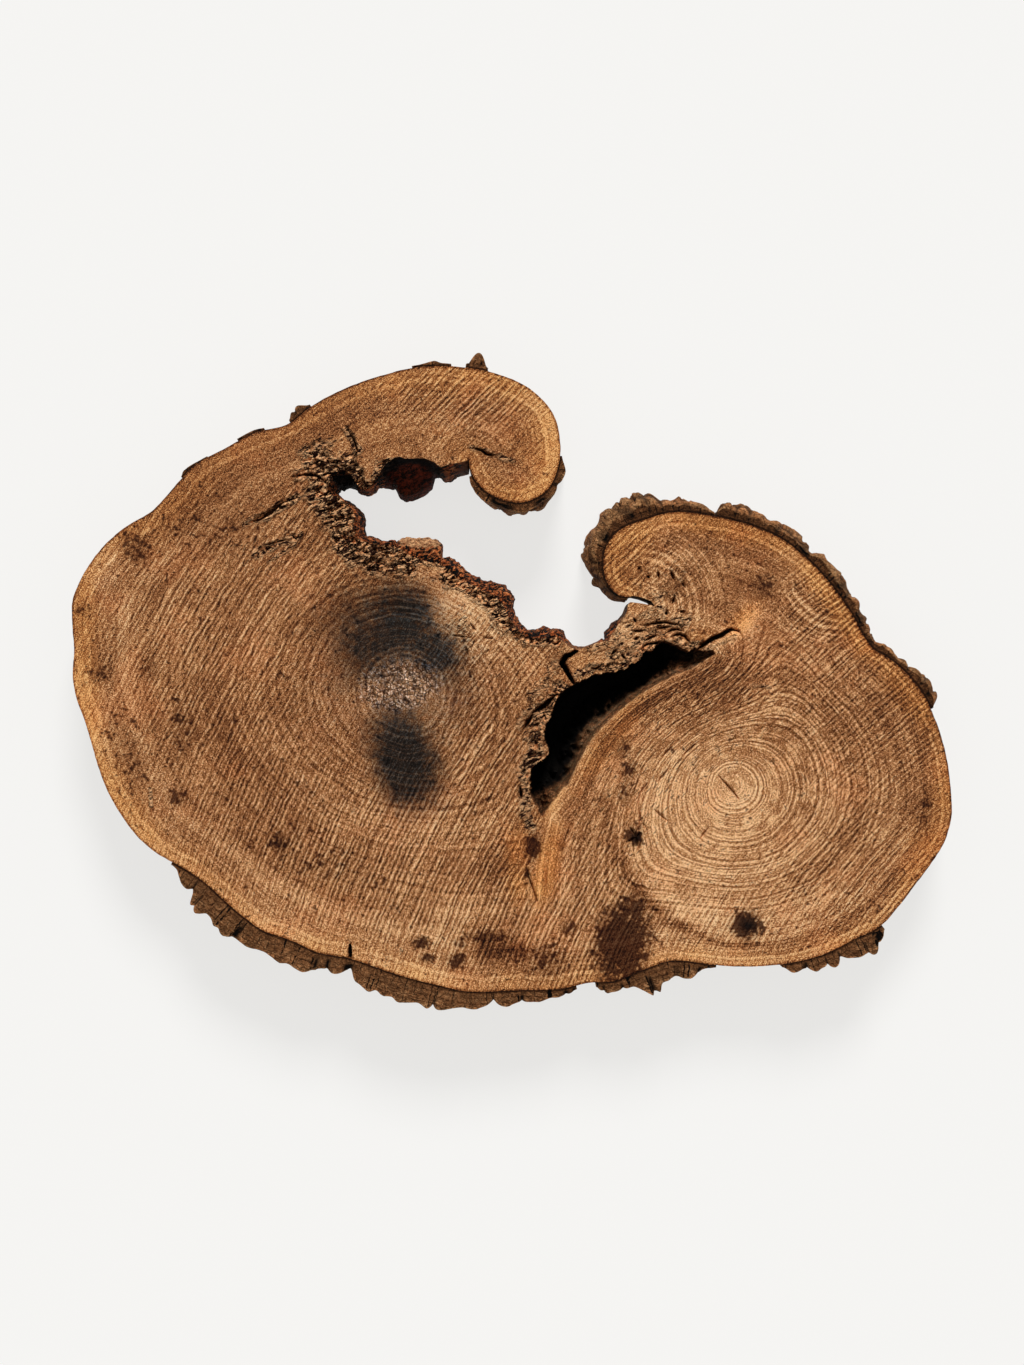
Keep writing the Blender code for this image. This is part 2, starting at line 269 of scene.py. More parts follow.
# %% The live edge
RIM_CURL = [
    (116, 83.5), (108, 85.5), (94, 102), (91.5, 114), (92, 126), (101, 145), (109, 151.5), (133, 161.5),
    (160, 168.5), (176, 168.5), (208, 163.5), (238, 156), (268, 143), (296, 121), (320, 95), (339, 68),
]
RIM_RIGHT = [
    (354, 41), (361, 32), (373, 25), (395, 7), (412, -15), (424, -41), (434, -74), (439, -112), (440, -127),
    (434, -157), (428, -169), (406, -200), (386, -226), (371, -243),
]
RIM_BOTTOM = [
    (343, -258), (310, -274), (278, -282), (243, -285.5), (203, -284), (174, -280), (160, -279.5),
    (133, -288), (103, -300), (76, -302), (48, -308), (8, -309), (-48, -310), (-77, -303.5), (-107, -296),
    (-137, -286), (-164, -277), (-192, -272), (-222, -259), (-250, -249), (-272, -233), (-312, -198),
    (-332, -185),
]
RIM_LEFT = [
    (-354, -173), (-374, -156), (-392, -132), (-408, -102), (-415, -81), (-425.5, -45), (-437, -11),
    (-439, 1), (-438, 31), (-440, 63), (-440, 77), (-432, 100), (-415, 127), (-388, 153), (-360, 170),
    (-336, 196), (-317, 216),
]
RIM_TOP = [
    (-290, 231), (-257, 248), (-222, 258), (-200, 275), (-172, 290), (-132, 305), (-92, 314), (-52, 314),
    (-15, 307), (18, 292), (41, 267),
]
RIM_SCROLL = [(48, 239), (46, 214), (35, 191), (13, 179), (-12, 182), (-31, 194), (-42, 213), (-43, 222)]
RIM = RIM_CURL + RIM_RIGHT + RIM_BOTTOM + RIM_LEFT + RIM_TOP + RIM_SCROLL
RIM_STEP = 2.1

rim = smooth_line(RIM, RIM_STEP)
print("live edge in mm:", round(steps_along(rim)[-1]))

# %% The bay's broken edge
BAY_CEILING = [
    (-46, 220, 0, -10, 3), (-56, 218, 1, -9, 4), (-64, 217, 2, -13, 4), (-71, 214, 3, -11, 4),
    (-76, 218, 4, -9, 4), (-82, 221, 4, -14, 3), (-88, 223, 7, -28, 3), (-95, 223.5, 7, -35, 3),
    (-101, 223, 3, -39, 3), (-107, 223, 0, -42, 3), (-113, 225, -1, -41, 3), (-119, 223, 1, -29, 5),
    (-125, 219, 0, -24, 8), (-129, 214, -2, -18, 10), (-133, 207, -3, -11, 12), (-137, 201, -3, -8, 14),
    (-142, 195, -2, -5, 14), (-148, 192, -1, -3, 16), (-154, 195, -1, -3, 20), (-158, 201, -2, -4, 24),
    (-162, 208, -2, -11, 26), (-168, 210, -1, -14, 26), (-175, 210, 2, -15, 26), (-181, 207, 6, -14, 26),
    (-182, 200, 6, -8, 28), (-185, 193, 9, -3, 30),
]
BAY_FLOOR = [
    (-182, 187, 8, 2, 34), (-174, 185, 5, -1, 34), (-166, 178, 3, 2, 34), (-160, 171, 5, 3, 34),
    (-157, 163, 7, 2, 32), (-158, 154, 9, 2, 30), (-157, 145, 9, 3, 30), (-150, 140, 9, 5, 28),
    (-140, 137, 8, 5.5, 26), (-130, 136, 7, 6, 26), (-120, 135, 4, 8, 24), (-112, 132, 1, 15, 20),
    (-102, 125, 2, 22, 12), (-92, 121, 5, 25, 8), (-82, 118, 8, 26, 6), (-75, 118, 5, 21, 6),
    (-71, 116, 0, 10, 6), (-66, 112, 3, 13, 7), (-58, 106, 2, 16, 7), (-50, 101, 3, 14, 7),
    (-41, 97, 4, 11, 8), (-32, 92, 3, 12, 9), (-23, 87, 6, 14, 11), (-15, 82, 9, 15, 13), (-9, 76, 13, 8, 15),
    (-6, 69, 8, 7, 15), (-2, 62, 6, 6, 14), (4, 54, 4, 6, 13), (8, 47, 8, 5.5, 13), (18, 43, 7, 10.5, 12),
    (29, 42, 6, 11, 10), (39, 43, 4, 11, 8), (46, 43, 4, 9, 6), (52, 39, 4, 5, 4), (57, 34, 4, 4, 3),
    (65, 31, 2, 4, 3), (75, 34, 1, 2, 3), (85, 38, 1, 1.5, 3), (95, 40, -2, 2, 5), (100, 47, -5, 4, 5),
    (105, 54, -4, 4.5, 4), (110, 61, -2, 2, 3), (115, 69, -2, 0, 2), (116, 76, 0, 0, 1),
]
SLOT = [
    (118, 79, 0, 0, 1), (130, 77.5, 0, 0, 1), (143, 75, 0, 0, 1), (139, 80, 0, 0, 1), (130, 83.5, 0, 0, 1),
    (121, 85.5, 0, 0, 1), (116, 83.5, 0, 0, 1),
]
BAY_STEP = 1.5
BAY_ROUGH = 1.1
RIM_ROUGH = 0.35

bay = even_line([(*rim[-1], 0, -10, 3)] + BAY_CEILING + BAY_FLOOR + SLOT, BAY_STEP)[1:-1]
in_bay = np.concatenate([np.zeros(len(rim)), np.ones(len(bay))])
face_edge = np.vstack([rim, bay[:, :2]])
wall_reach = np.vstack([np.zeros((len(rim), 2)), bay[:, 2:4]])
rot_width = np.concatenate([np.zeros(len(rim)), bay[:, 4]])
broken_share = in_bay * ease(rot_width, 1.5, 5)
ragged = BAY_ROUGH * broken_share + RIM_ROUGH * (1 - in_bay)
face_edge = face_edge + outward_of(face_edge) * (ragged * layered_noise(face_edge, 6, 2, 5))[:, None]
print("stations round the slab:", len(face_edge))

# %% [markdown]
# ## Rot, cracks and the cavity
# Seen on the cut face, each rotten patch is a band along a line. A patch holds its line, half its width,
# how deep its crumbled wood lies, and how far gone it is from 0 to 1. A crack holds its line, its width and
# its depth. Pits, slots and splits are short cracks, so each of those lists says only where they run.
#
# The cavity is different: it is the seam where the stems never joined, with an upright lip on one side and
# a sloping bank on the other.

# %% Rotten patches and cracks
PATCHES = [
    ([(-196, 222), (-190, 200), (-180, 172), (-170, 150)], 25, 6, 0.72),
    ([(-212, 206), (-196, 206), (-184, 197)], 7, 7, 0.9),
    ([(-170, 138), (-150, 122), (-128, 114), (-108, 114)], 19, 6, 0.82),
    ([(-106, 128), (-94, 122), (-78, 120)], 7, 5, 0.8),
    ([(-66, 104), (-44, 92), (-20, 76), (-4, 56)], 12, 5, 0.85),
    ([(8, 46), (26, 38), (44, 40)], 8, 6, 0.9),
    ([(80, 34), (100, 38), (118, 52)], 15, 2, 0.42),
    ([(96, 22), (130, 38), (150, 54), (172, 56)], 19, 3, 0.46),
    ([(112, 60), (128, 64), (148, 70)], 11, 2, 0.4),
    ([(48, -8), (32, -30), (24, -50), (23, -74), (14, -90)], 15, 5, 0.75),
    ([(15, -86), (12, -110), (14, -130), (17, -144)], 9, 3, 0.55),
    ([(186, 30), (204, 36), (222, 44)], 5, 2, 0.45),
    ([(52, 30), (40, 6), (22, -14), (8, -44)], 11, 2, 0.4),
    ([(60, 6), (84, 14), (108, 16), (130, 30), (156, 40), (196, 34)], 8, 4, 0.62),
    ([(140, 84), (162, 92), (172, 108)], 14, 2, 0.35),
    ([(-42, 234), (-26, 230), (-10, 224), (2, 220)], 6, 3, 0.5),
    ([(-266, 157), (-246, 166), (-218, 182)], 8, 6, 0.8),
    ([(-256, 127), (-232, 140), (-212, 144)], 7, 4, 0.7),
    ([(-244, 119), (-217, 136)], 4, 3, 0.6),
    ([(-166, 253), (-160, 244), (-155, 231), (-160, 218)], 6, 4, 0.7),
    ([(243, -4), (258, -6)], 5, 2, 0.45),
    ([(-362, -108), (-361, -124)], 3, 2, 0.6),
    ([(-50, 60), (-44, 30)], 16, 1.0, 0.3),
]
PITS = [
    (136, 107, 137, 102), (146, 110, 147, 103), (159, 110, 162, 101), (170, 99, 173, 94),
    (160, 77, 163, 84), (154, 71, 155, 66), (167, 69, 173, 70), (122, 64, 124, 58), (126, 114, 128, 112),
    (122, 41, 127, 44),
]
SLOTS = [
    [(128, 56), (135, 56), (143, 58), (154, 59), (161, 57), (167, 57), (170, 52)],
    [(155, 48), (159, 51), (165, 52), (171, 50)], [(159, 44), (167, 47), (173, 45), (178, 38)],
    [(134, 41), (140, 44), (145, 46)], [(128, 31), (135, 37), (144, 38), (152, 40)], [(100, 26), (105, 33)],
    [(109, 27), (114, 22)], [(94, 13), (98, 18)], [(78, 13), (84, 12), (91, 17)],
    [(146, 52), (152, 54), (158, 54)], [(186, 36), (192, 38), (197, 41)], [(120, 50), (127, 50), (133, 51)],
]
SPLITS = [
    (128, -113, 136, -101), (142, -128, 155, -140), (146, -101, 158, -86), (188, -158, 197, -146),
    (172, -74, 184, -62), (150, -76, 160, -66), (-42, 58, -36, 50), (-46, 34, -44, 24), (-60, 46, -46, 44),
    (-30, 44, -18, 42), (118, -146, 124, -156), (124, -156, 130, -151), (124, -156, 126, -168),
    (124, -156, 114, -162), (126, -150, 131, -141),
]
CRACKS = [
    ([(64, -6), (56, 8), (50, 18), (55, 25), (63, 29), (71, 36)], 6, 45),
    ([(184, 30), (200, 42), (210, 46), (219, 52), (227, 50)], 6, 25),
    ([(-266, 157), (-254, 161), (-242, 169), (-230, 179), (-218, 182)], 7, 10),
    ([(-256, 127), (-246, 136), (-232, 140), (-212, 144)], 3, 5),
    ([(-39, 233), (-31, 231), (-25, 227), (-17, 226)], 3.4, 14),
    ([(-165, 253), (-159, 243), (-155, 231), (-160, 218)], 3, 9),
    ([(-220, 204), (-208, 207), (-196, 206), (-184, 197)], 4, 12),
    ([(-162, -262), (-162, -270), (-162, -280)], 2.6, 60),
    ([(207, -95), (218, -107), (228, -119)], 1.5, 14),
    ([(15, -190), (18, -200), (22, -211), (26, -224)], 2.0, 9),
    ([(33, -178), (34, -192), (34, -205), (36, -213)], 1.4, 4),
    ([(20, -32), (32, -25), (44, -14)], 6, 22),
    ([(12, -48), (17, -40), (21, -33)], 6, 16),
    ([(8, -105), (9, -112), (9, -119)], 4, 14),
    ([(128, -110), (126, -124), (128, -138), (137, -152)], 1.4, 6),
    ([(-103, 219), (-96, 217), (-84, 217), (-76, 214)], 9, 30),
]
PIT_WIDTH, PIT_DEPTH = 3.8, 11
SPLIT_WIDTH, SPLIT_DEPTH = 1.6, 9
CRACKS += [([(x0, y0), (x1, y1)], PIT_WIDTH, PIT_DEPTH) for x0, y0, x1, y1 in PITS]
CRACKS += [(line, PIT_WIDTH, PIT_DEPTH) for line in SLOTS]
CRACKS += [([(x0, y0), (x1, y1)], SPLIT_WIDTH, SPLIT_DEPTH) for x0, y0, x1, y1 in SPLITS]
print("patches:", len(PATCHES), "cracks:", len(CRACKS))

# %% The cavity's two sides
LIP = [
    (200, 31), (176, 32), (156, 38), (136, 29), (117, 16), (106, 9), (83, 6), (64, -2), (48, -13), (40, -30),
    (33, -49), (34, -73), (21, -85), (18, -97), (22, -121), (27, -132),
]
BANK = [
    (204, 27), (184, 13), (157, 1), (133, -12), (109, -30), (90, -49), (74, -69), (63, -91), (52, -112),
    (38, -127), (31, -136),
]
CAVITY_DEPTH = 60
SLOPE = ([0, 0.04, 0.1, 0.4, 0.66, 0.9, 1], [0, 0.7, 1, 1, 0.62, 0.26, 0.02])
FIBRE_LEAN = np.radians(24)
LINE_STEP = 1.5
LIP_ROUGH = 3.4

lip = smooth_line(LIP, LINE_STEP)
lip[3:-3] += LIP_ROUGH * np.stack([layered_noise(lip[3:-3], 7, 3, seed) for seed in (33, 34)], axis=1)
bank = smooth_line(BANK, LINE_STEP)
cavity_loop = np.vstack([lip, bank[::-1]])
print("lip and bank in mm:", round(steps_along(lip)[-1]), round(steps_along(bank)[-1]))


# %% How far the rot has gone
def band(points, line, half_width, seed):
    """1 on the line, falling to 0 about a half width away from it, with an uneven edge."""
    line = even_line(line, LINE_STEP)
    share = np.zeros(len(points))
    near = close_to(points, line, 2.2 * half_width)
    if near.any():
        distance, _ = nearest(points[near], line)
        wander = 0.5 * layered_noise(points[near], 11, 3, seed)
        share[near] = ease(1.15 - distance / half_width + wander, 0, 1.1)
    return share


def decay_at(points):
    """How rotten the face is at each place, 0..1, and how many millimetres its crumbled wood lies down."""
    distance, station = nearest(points, face_edge)
    width = rot_width[station]
    edge = ease(1.1 - distance / np.maximum(width, 1) + 0.4 * layered_noise(points, 8, 2, 3), 0, 1.05)
    decay = edge * in_bay[station] * ease(width, 1.5, 9)
    depth = decay * np.clip(width, 0, 7)
    for seed, (line, half_width, deep, gone) in enumerate(PATCHES):
        share = band(points, line, half_width, seed)
        decay = np.maximum(decay, gone * share)
        depth = np.maximum(depth, deep * share)
    return decay, depth


# %% How deep the wood is gone
LEAST_CRACK, FULL_CRACK = 2.4, 3
FIBRE_LENGTH = 1.7


def cavity_depth_at(points):
    """Depth by the share of the way from lip to bank: straight down at the lip, then a slope up the bank."""
    depth = np.zeros(len(points))
    held = inside(points, cavity_loop)
    to_lip, place = nearest(points[held], lip)
    to_bank, _ = nearest(points[held], bank)
    across = to_lip / (to_lip + to_bank)
    u = place / (len(lip) - 1)
    tip = np.clip(np.minimum(u * 4, (1 - u) * 5), 0, 1)
    rough = 0.16 * layered_noise(points[held], 7, 3, 31)
    share = np.interp(across + rough * ease(across, 0.2, 0.5) * ease(1 - across, 0.02, 0.3), *SLOPE)
    depth[held] = CAVITY_DEPTH * (0.3 + 0.7 * tip) * share
    crumbled = ease(across, 0.05, 0.3) * ease(1 - across, 0.02, 0.2)
    depth[held] += 3.4 * crumbled * layered_noise(points[held], 6, 3, 35)
    return depth


def crack_depth_at(points):
    """The deepest of the cracks' V sections, each narrowing and shoaling to its two ends."""
    depth = np.zeros(len(points))
    for seed, (line, width, deep) in enumerate(CRACKS):
        middle = even_line(line, LINE_STEP)
        near = np.flatnonzero(close_to(points, middle, width + 4))
        if len(near):
            distance, place = nearest(points[near], middle)
            taper = np.sin(np.clip(place / (len(middle) - 1), 0.06, 0.94) * np.pi) ** 0.6
            uneven = 1 + 0.4 * layered_noise(points[near], 5, 2, seed + 50)
            half_width = np.maximum(width, LEAST_CRACK) / 2 * taper * uneven
            cut = deep * taper * ease(1 - distance / (half_width + 0.6)) * min(1, width / FULL_CRACK)
            depth[near] = np.maximum(depth[near], cut)
    return depth


def gone_at(points):
    """How rotten each place is, and its depth below the sawn face: the deepest of rot, cracks and cavity. The
    rot is crumbled into lumps and, where noise drawn out along the fibres is near zero, into fissures."""
    decay, rot = decay_at(points)
    bent = points + 5 * np.stack([layered_noise(points, 17, 2, seed) for seed in (62, 63)], axis=1)
    along = bent @ np.array([np.cos(FIBRE_LEAN), np.sin(FIBRE_LEAN)])
    across = bent @ np.array([-np.sin(FIBRE_LEAN), np.cos(FIBRE_LEAN)])
    fibres = np.stack([along / FIBRE_LENGTH, across], axis=1)
    fissure = ease(1 - np.abs(layered_noise(fibres, 5.4, 3, 61)) * 3.4)
    lumps = 0.5 + 0.5 * layered_noise(points, 13, 2, 71)
    rot = rot * ease(decay, 0.15, 0.75) * (0.35 * lumps + 0.9 * fissure)
    return decay, np.maximum(np.maximum(rot, crack_depth_at(points)), cavity_depth_at(points))


# %% [markdown]
# ## The wood as one closed surface
# The front could be a plain grid, but a grid fine enough for the rot would waste most of its points on
# flat wood. So points are strewn closely where the wood is broken and widely where it is sound, and a
# Delaunay triangulation joins them inside the outline. The wall is a grid of stations round the slab by
# rows down it, and the back is a wide triangulation again. They share their edge points, so nothing gapes.

# %% Strewing points and joining them
def strewn(spacing, box):
    """A hexagonal lattice over the box, each point nudged a little so that no rows show."""
    (x0, y0), (x1, y1) = box
    rows = np.arange(y0, y1, spacing * 0.866)
    columns = np.arange(x0, x1, spacing)
    x, y = np.meshgrid(columns, rows)
    x = x + np.where(np.arange(len(rows)) % 2, spacing / 2, 0)[:, None]
    points = np.column_stack([x.ravel(), y.ravel()])
    nudge = [lattice_noise(points * 0.91, seed) for seed in (81, 82)]
    return points + 0.18 * spacing * np.stack(nudge, axis=1)


def joined(loop, inner):
    """Delaunay triangles inside the loop over its points, which come first, and the inner ones."""
    points = np.vstack([loop, inner])
    count = len(loop)
    ring = [(i, (i + 1) % count) for i in range(count)]
    made = delaunay_2d_cdt([tuple(p) for p in points.tolist()], ring, [], 1, 1e-6)
    first = np.array([old[0] if old else -1 for old in made[3]])
    faces = first[np.array(made[2])]
    a, b, c = (points[faces[:, k]] for k in range(3))
    turn = (b[:, 0] - a[:, 0]) * (c[:, 1] - a[:, 1]) - (b[:, 1] - a[:, 1]) * (c[:, 0] - a[:, 0])
    faces[turn < 0] = faces[turn < 0][:, ::-1]
    return faces


# %% The points of the cut face
COARSE, FINE, BACK = 3.5, 1.5, 9.0
BOX = ((-445, -330), (445, 330))
BUSY_DECAY, BUSY_REACH = 0.12, 4


def face_points():
    """Close points near rot, cracks and the bay, wide ones elsewhere, and a row along each sharp line."""
    close, wide = strewn(FINE, BOX), strewn(COARSE, BOX)
    lines = [even_line(line, LINE_STEP)[1:-1] for line, _, _ in CRACKS]
    lines = np.vstack([*lines, lip, bank])
    lines = lines[inside(lines, face_edge)]
    kept = [lines[nearest(lines, face_edge)[0] > 1]]
    for points, spacing, fine in ((close, FINE, True), (wide, COARSE, False)):
        points = points[inside(points, face_edge)]
        from_edge, station = nearest(points, face_edge)
        from_lines, _ = nearest(points, kept[0])
        decay, _ = decay_at(points)
        held = inside(points, cavity_loop)
        by_the_bay = (from_edge < BUSY_REACH) & (in_bay[station] > 0)
        busy = (decay > BUSY_DECAY) | (from_lines < BUSY_REACH) | held | by_the_bay
        clear = (from_edge > spacing * 0.55) & (from_lines > min(spacing, 2) * 0.5)
        kept.append(points[clear & (busy == fine)])
    return np.vstack(kept)


# %% The wall
WALL_Z = THICK - np.array([0, 0.7, 3, 6.5, 11, 16, 22, 29, 36, 43, 50, 57, 63, 69, 73.5, THICK])
REACH_Z = (0, 22, 48, 66, THICK)
REACH = (0.85, 1.0, 0.85, 0.35, 0.0)


def wall_rows():
    """Place on the face edge, plus the bay's reach at that height, plus relief along the outward direction.
    The relief is noise drawn out along z, rough where the bay is rotten and slight on the live edge."""
    out = outward_of(face_edge, 3)
    rows = []
    for z in WALL_Z:
        row = face_edge + wall_reach * np.interp(z, REACH_Z, REACH)
        spot = np.column_stack([row, np.full(len(row), z)])
        fade = ease(THICK - z, 0, 9) * ease(z, -4, 9)
        rotten = 2.4 * layered_noise(spot * (1, 1, 0.35), 11, 3, 91)
        rotten += 1.3 * layered_noise(spot * (1, 1, 0.15), 3.5, 2, 95)
        live = 0.5 * layered_noise(spot * (1, 1, 0.08), 7, 2, 99)
        worn = RIM_ROUGH * ease(THICK - z, 0, 1.5)
        relief = np.where(in_bay > 0, rotten * broken_share, live) * fade + worn * (1 - in_bay)
        rows.append(np.column_stack([row + out * relief[:, None], np.full(len(row), z)]))
    return np.array(rows)


# %% The points of face, wall and back
EDGE_GONE = 6
BELOW_EDGE = np.array([0.5, 1.2, 2.2])[:, None]

inner_face = face_points()
face_xy = np.vstack([face_edge, inner_face])
decay, gone = gone_at(face_xy)
edge_count = len(face_edge)
gone[:edge_count] = np.minimum(gone[:edge_count], EDGE_GONE)
rows = wall_rows()
rows[0, :, 2] -= gone[:edge_count]
rows[1:4, :, 2] = np.minimum(rows[1:4, :, 2], rows[0, :, 2] - BELOW_EDGE)

back_edge = rows[-1][:, :2]
back_inner = strewn(BACK, BOX)
back_inner = back_inner[inside(back_inner, back_edge)]
back_inner = back_inner[nearest(back_inner, back_edge)[0] > BACK * 0.4]

front = np.column_stack([face_xy, THICK - gone])
middle = rows[1:].reshape(-1, 3)
back = np.column_stack([back_inner, np.zeros(len(back_inner))])
wood_points = np.vstack([front, middle, back])
print("wood points:", len(wood_points))

# %% The faces between them
front_tris = joined(face_edge, inner_face)
back_tris = joined(back_edge, back_inner)
wall_index = np.vstack([np.arange(edge_count), len(front) + np.arange(len(middle)).reshape(-1, edge_count)])
back_index = np.concatenate([wall_index[-1], len(front) + len(middle) + np.arange(len(back_inner))])


def quads_between(upper, lower):
    """Four corners a face: two neighbours in one row, then the same two in the next. The rows close round."""
    ahead = np.roll(upper, -1, axis=1), np.roll(lower, -1, axis=1)
    return np.stack([upper, *ahead, lower], axis=-1).reshape(-1, 4)


wall_quads = quads_between(wall_index[:-1], wall_index[1:])
wood_faces = front_tris.tolist() + wall_quads.tolist() + back_index[back_tris][:, ::-1].tolist()
print("front:", len(front_tris), "wall:", 2 * len(wall_quads), "back:", len(back_tris))


# %% A piece from points and faces
def new_piece(name, points, faces, stands_for, sharp=0.7):
    """An object at the origin with its place in its mesh, riding on the slab's only body."""
    mesh = bpy.data.meshes.new(name)
    mesh.from_pydata((np.asarray(points) * MM).tolist(), [], faces)
    mesh.update()
    mesh.shade_smooth()
    mesh.set_sharp_from_angle(angle=sharp)
    piece = bpy.data.objects.new(name, mesh)
    scene.collection.objects.link(piece)
    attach(piece, "root")
    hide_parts(stands_for)
    return piece


def write_on(piece, **layers):
    """One number a point in each named layer, for the piece's material to read."""
    for name, values in layers.items():
        layer = piece.data.attributes.new(name, "FLOAT", "POINT")
        layer.data.foreach_set("value", np.ascontiguousarray(values, np.float32).ravel())


wood = new_piece("walnut_slab", wood_points, wood_faces, "wood")
print("wood triangles:", len(front_tris) + 2 * len(wall_quads) + len(back_tris))

# %% [markdown]
# ## The figure of the wood
# A ring is what the tree's edge was one year, so close to the pith the rings are circles and close to the
# live edge they follow it. One formula does both: the distance to the pith divided by the sum of the
# distances to the pith and to the edge, times the stem's radius. It bends round the curl and the scroll
# by itself. The saw's scores are arcs of one big circle, because the bar swung round a point beyond the
# slab as it went through.

# %% Rings, scores and the distance from the live edge
LEFT_PITH, RIGHT_PITH = (-105, -9), (221, -104)
STEM_RADIUS = 230
SEAM = [(31, -136), (20, -180), (15, -225)]
SEAM_X = (15, 15, 20, 31, 18, 21, 33, 40, 64, 50, 45, 60)
SEAM_Y = (-330, -225, -180, -136, -97, -85, -49, -30, -6, 18, 43, 60)
SWING_CENTRE = (900, -652)
CROSS_CENTRE = (1700, -420)


def figure_at(points):
    """Ring number as millimetres from the pith, the two sets of scores, and the distance to the live edge."""
    to_rim, _ = nearest(points, rim)
    right = points[:, 0] > np.interp(points[:, 1], SEAM_Y, SEAM_X)
    seam = np.vstack([lip, bank, even_line(SEAM, LINE_STEP)])
    felt = pull(points, rim, RIM_STEP) + right * pull(points, seam, LINE_STEP)
    edge = (felt * 8 / (3 * np.pi)) ** -0.2
    pith = np.where(right[:, None], RIGHT_PITH, LEFT_PITH)
    to_pith = np.linalg.norm(points - pith, axis=1)
    rings = STEM_RADIUS * to_pith / (to_pith + edge)
    swing = np.linalg.norm(points - SWING_CENTRE, axis=1)
    cross = np.linalg.norm(points - CROSS_CENTRE, axis=1)
    return rings, swing, cross, to_rim, to_pith, right


plan = wood_points[:, :2]
rings, swing, cross, to_rim, to_pith, on_right = figure_at(plan)
write_on(wood, rings=rings, swing=swing, cross=cross, to_rim=to_rim, to_pith=to_pith, on_right=on_right)
print("rings reach:", round(rings.max()))

# %% [markdown]
# Wood isn't one brown. The heart of the right stem is the palest, the left stem is dull, and the sapwood
# under the bark is golden. So the broad tone is set by a few soft spots, each with a middle, a size and a
# tone from 0, darkest, to 1, palest, and every place takes the weighted mean of the spots near it.

# %% Broad tones
TONES = [
    (-340, -40, 110, 0.41), (-265, -130, 90, 0.38), (-180, -240, 80, 0.56), (-75, -225, 90, 0.58),
    (-20, -290, 70, 0.48), (-432, -10, 20, 0.62), (-400, -110, 26, 0.66), (-345, -168, 30, 0.66),
    (-424, 105, 34, 0.58), (-422, -70, 24, 0.74), (-240, -245, 30, 0.72), (-120, -262, 34, 0.7),
    (-280, 60, 50, 0.5), (-190, -10, 40, 0.32), (0, -10, 30, 0.4), (-120, -190, 40, 0.4),
    (-288, -70, 40, 0.42), (-190, 220, 30, 0.36), (-242, 111, 30, 0.52), (-62, -249, 26, 0.82),
    (-112, -4, 24, 0.66), (-4, -130, 24, 0.36), (298, -186, 36, 0.38), (358, -9, 30, 0.28),
    (298, 111, 24, 0.62), (414, -185, 20, 0.34), (2, 230, 18, 0.28), (-362, 111, 26, 0.34),
    (138, 50, 30, 0.76), (178, -9, 30, 0.22), (118, -189, 30, 0.66), (-242, 90, 30, 0.5),
    (-184, -252, 26, 0.44), (118, 171, 24, 0.66), (178, 50, 26, 0.5), (118, -129, 28, 0.72),
    (-2, -129, 24, 0.3), (-290, 180, 90, 0.38), (-95, 282, 70, 0.45), (36, 230, 34, 0.62),
    (0, 196, 30, 0.42), (-400, 30, 50, 0.5), (-44, 60, 30, 0.82), (-42, -24, 30, 0.34),
    (168, 100, 28, 0.62), (218, -104, 90, 0.7), (195, -225, 80, 0.64), (366, -110, 66, 0.36),
    (288, 30, 80, 0.34), (116, 120, 40, 0.38), (220, 100, 60, 0.34), (218, -104, 46, 0.8),
    (88, -80, 40, 0.46), (-120, -120, 80, 0.43), (-200, 60, 80, 0.4), (330, -230, 60, 0.5),
    (-20, -120, 40, 0.5), (60, -250, 50, 0.27), (62, -140, 36, 0.2), (58, -200, 36, 0.38),
    (-6, -192, 34, 0.34), (300, -80, 40, 0.42), (186, -12, 36, 0.24),
]


def tone_at(points):
    """The mean of the spots' tones, each weighted by a bell curve of the distance over the spot's size."""
    spots = np.array(TONES)
    distance = np.linalg.norm(points[:, None] - spots[None, :, :2], axis=2)
    weight = np.exp(-0.5 * (distance / spots[:, 2]) ** 2) + 1e-6
    return (weight * spots[:, 3]).sum(axis=1) / weight.sum(axis=1)


# %% [markdown]
# Some marks are longer than they are wide: the dark ring low in the right stem, the golden ridge along the
# cavity's bank, the bands of dull wood in the left stem. Each is a stroke: a line, half its width, and what
# it adds to the tone.

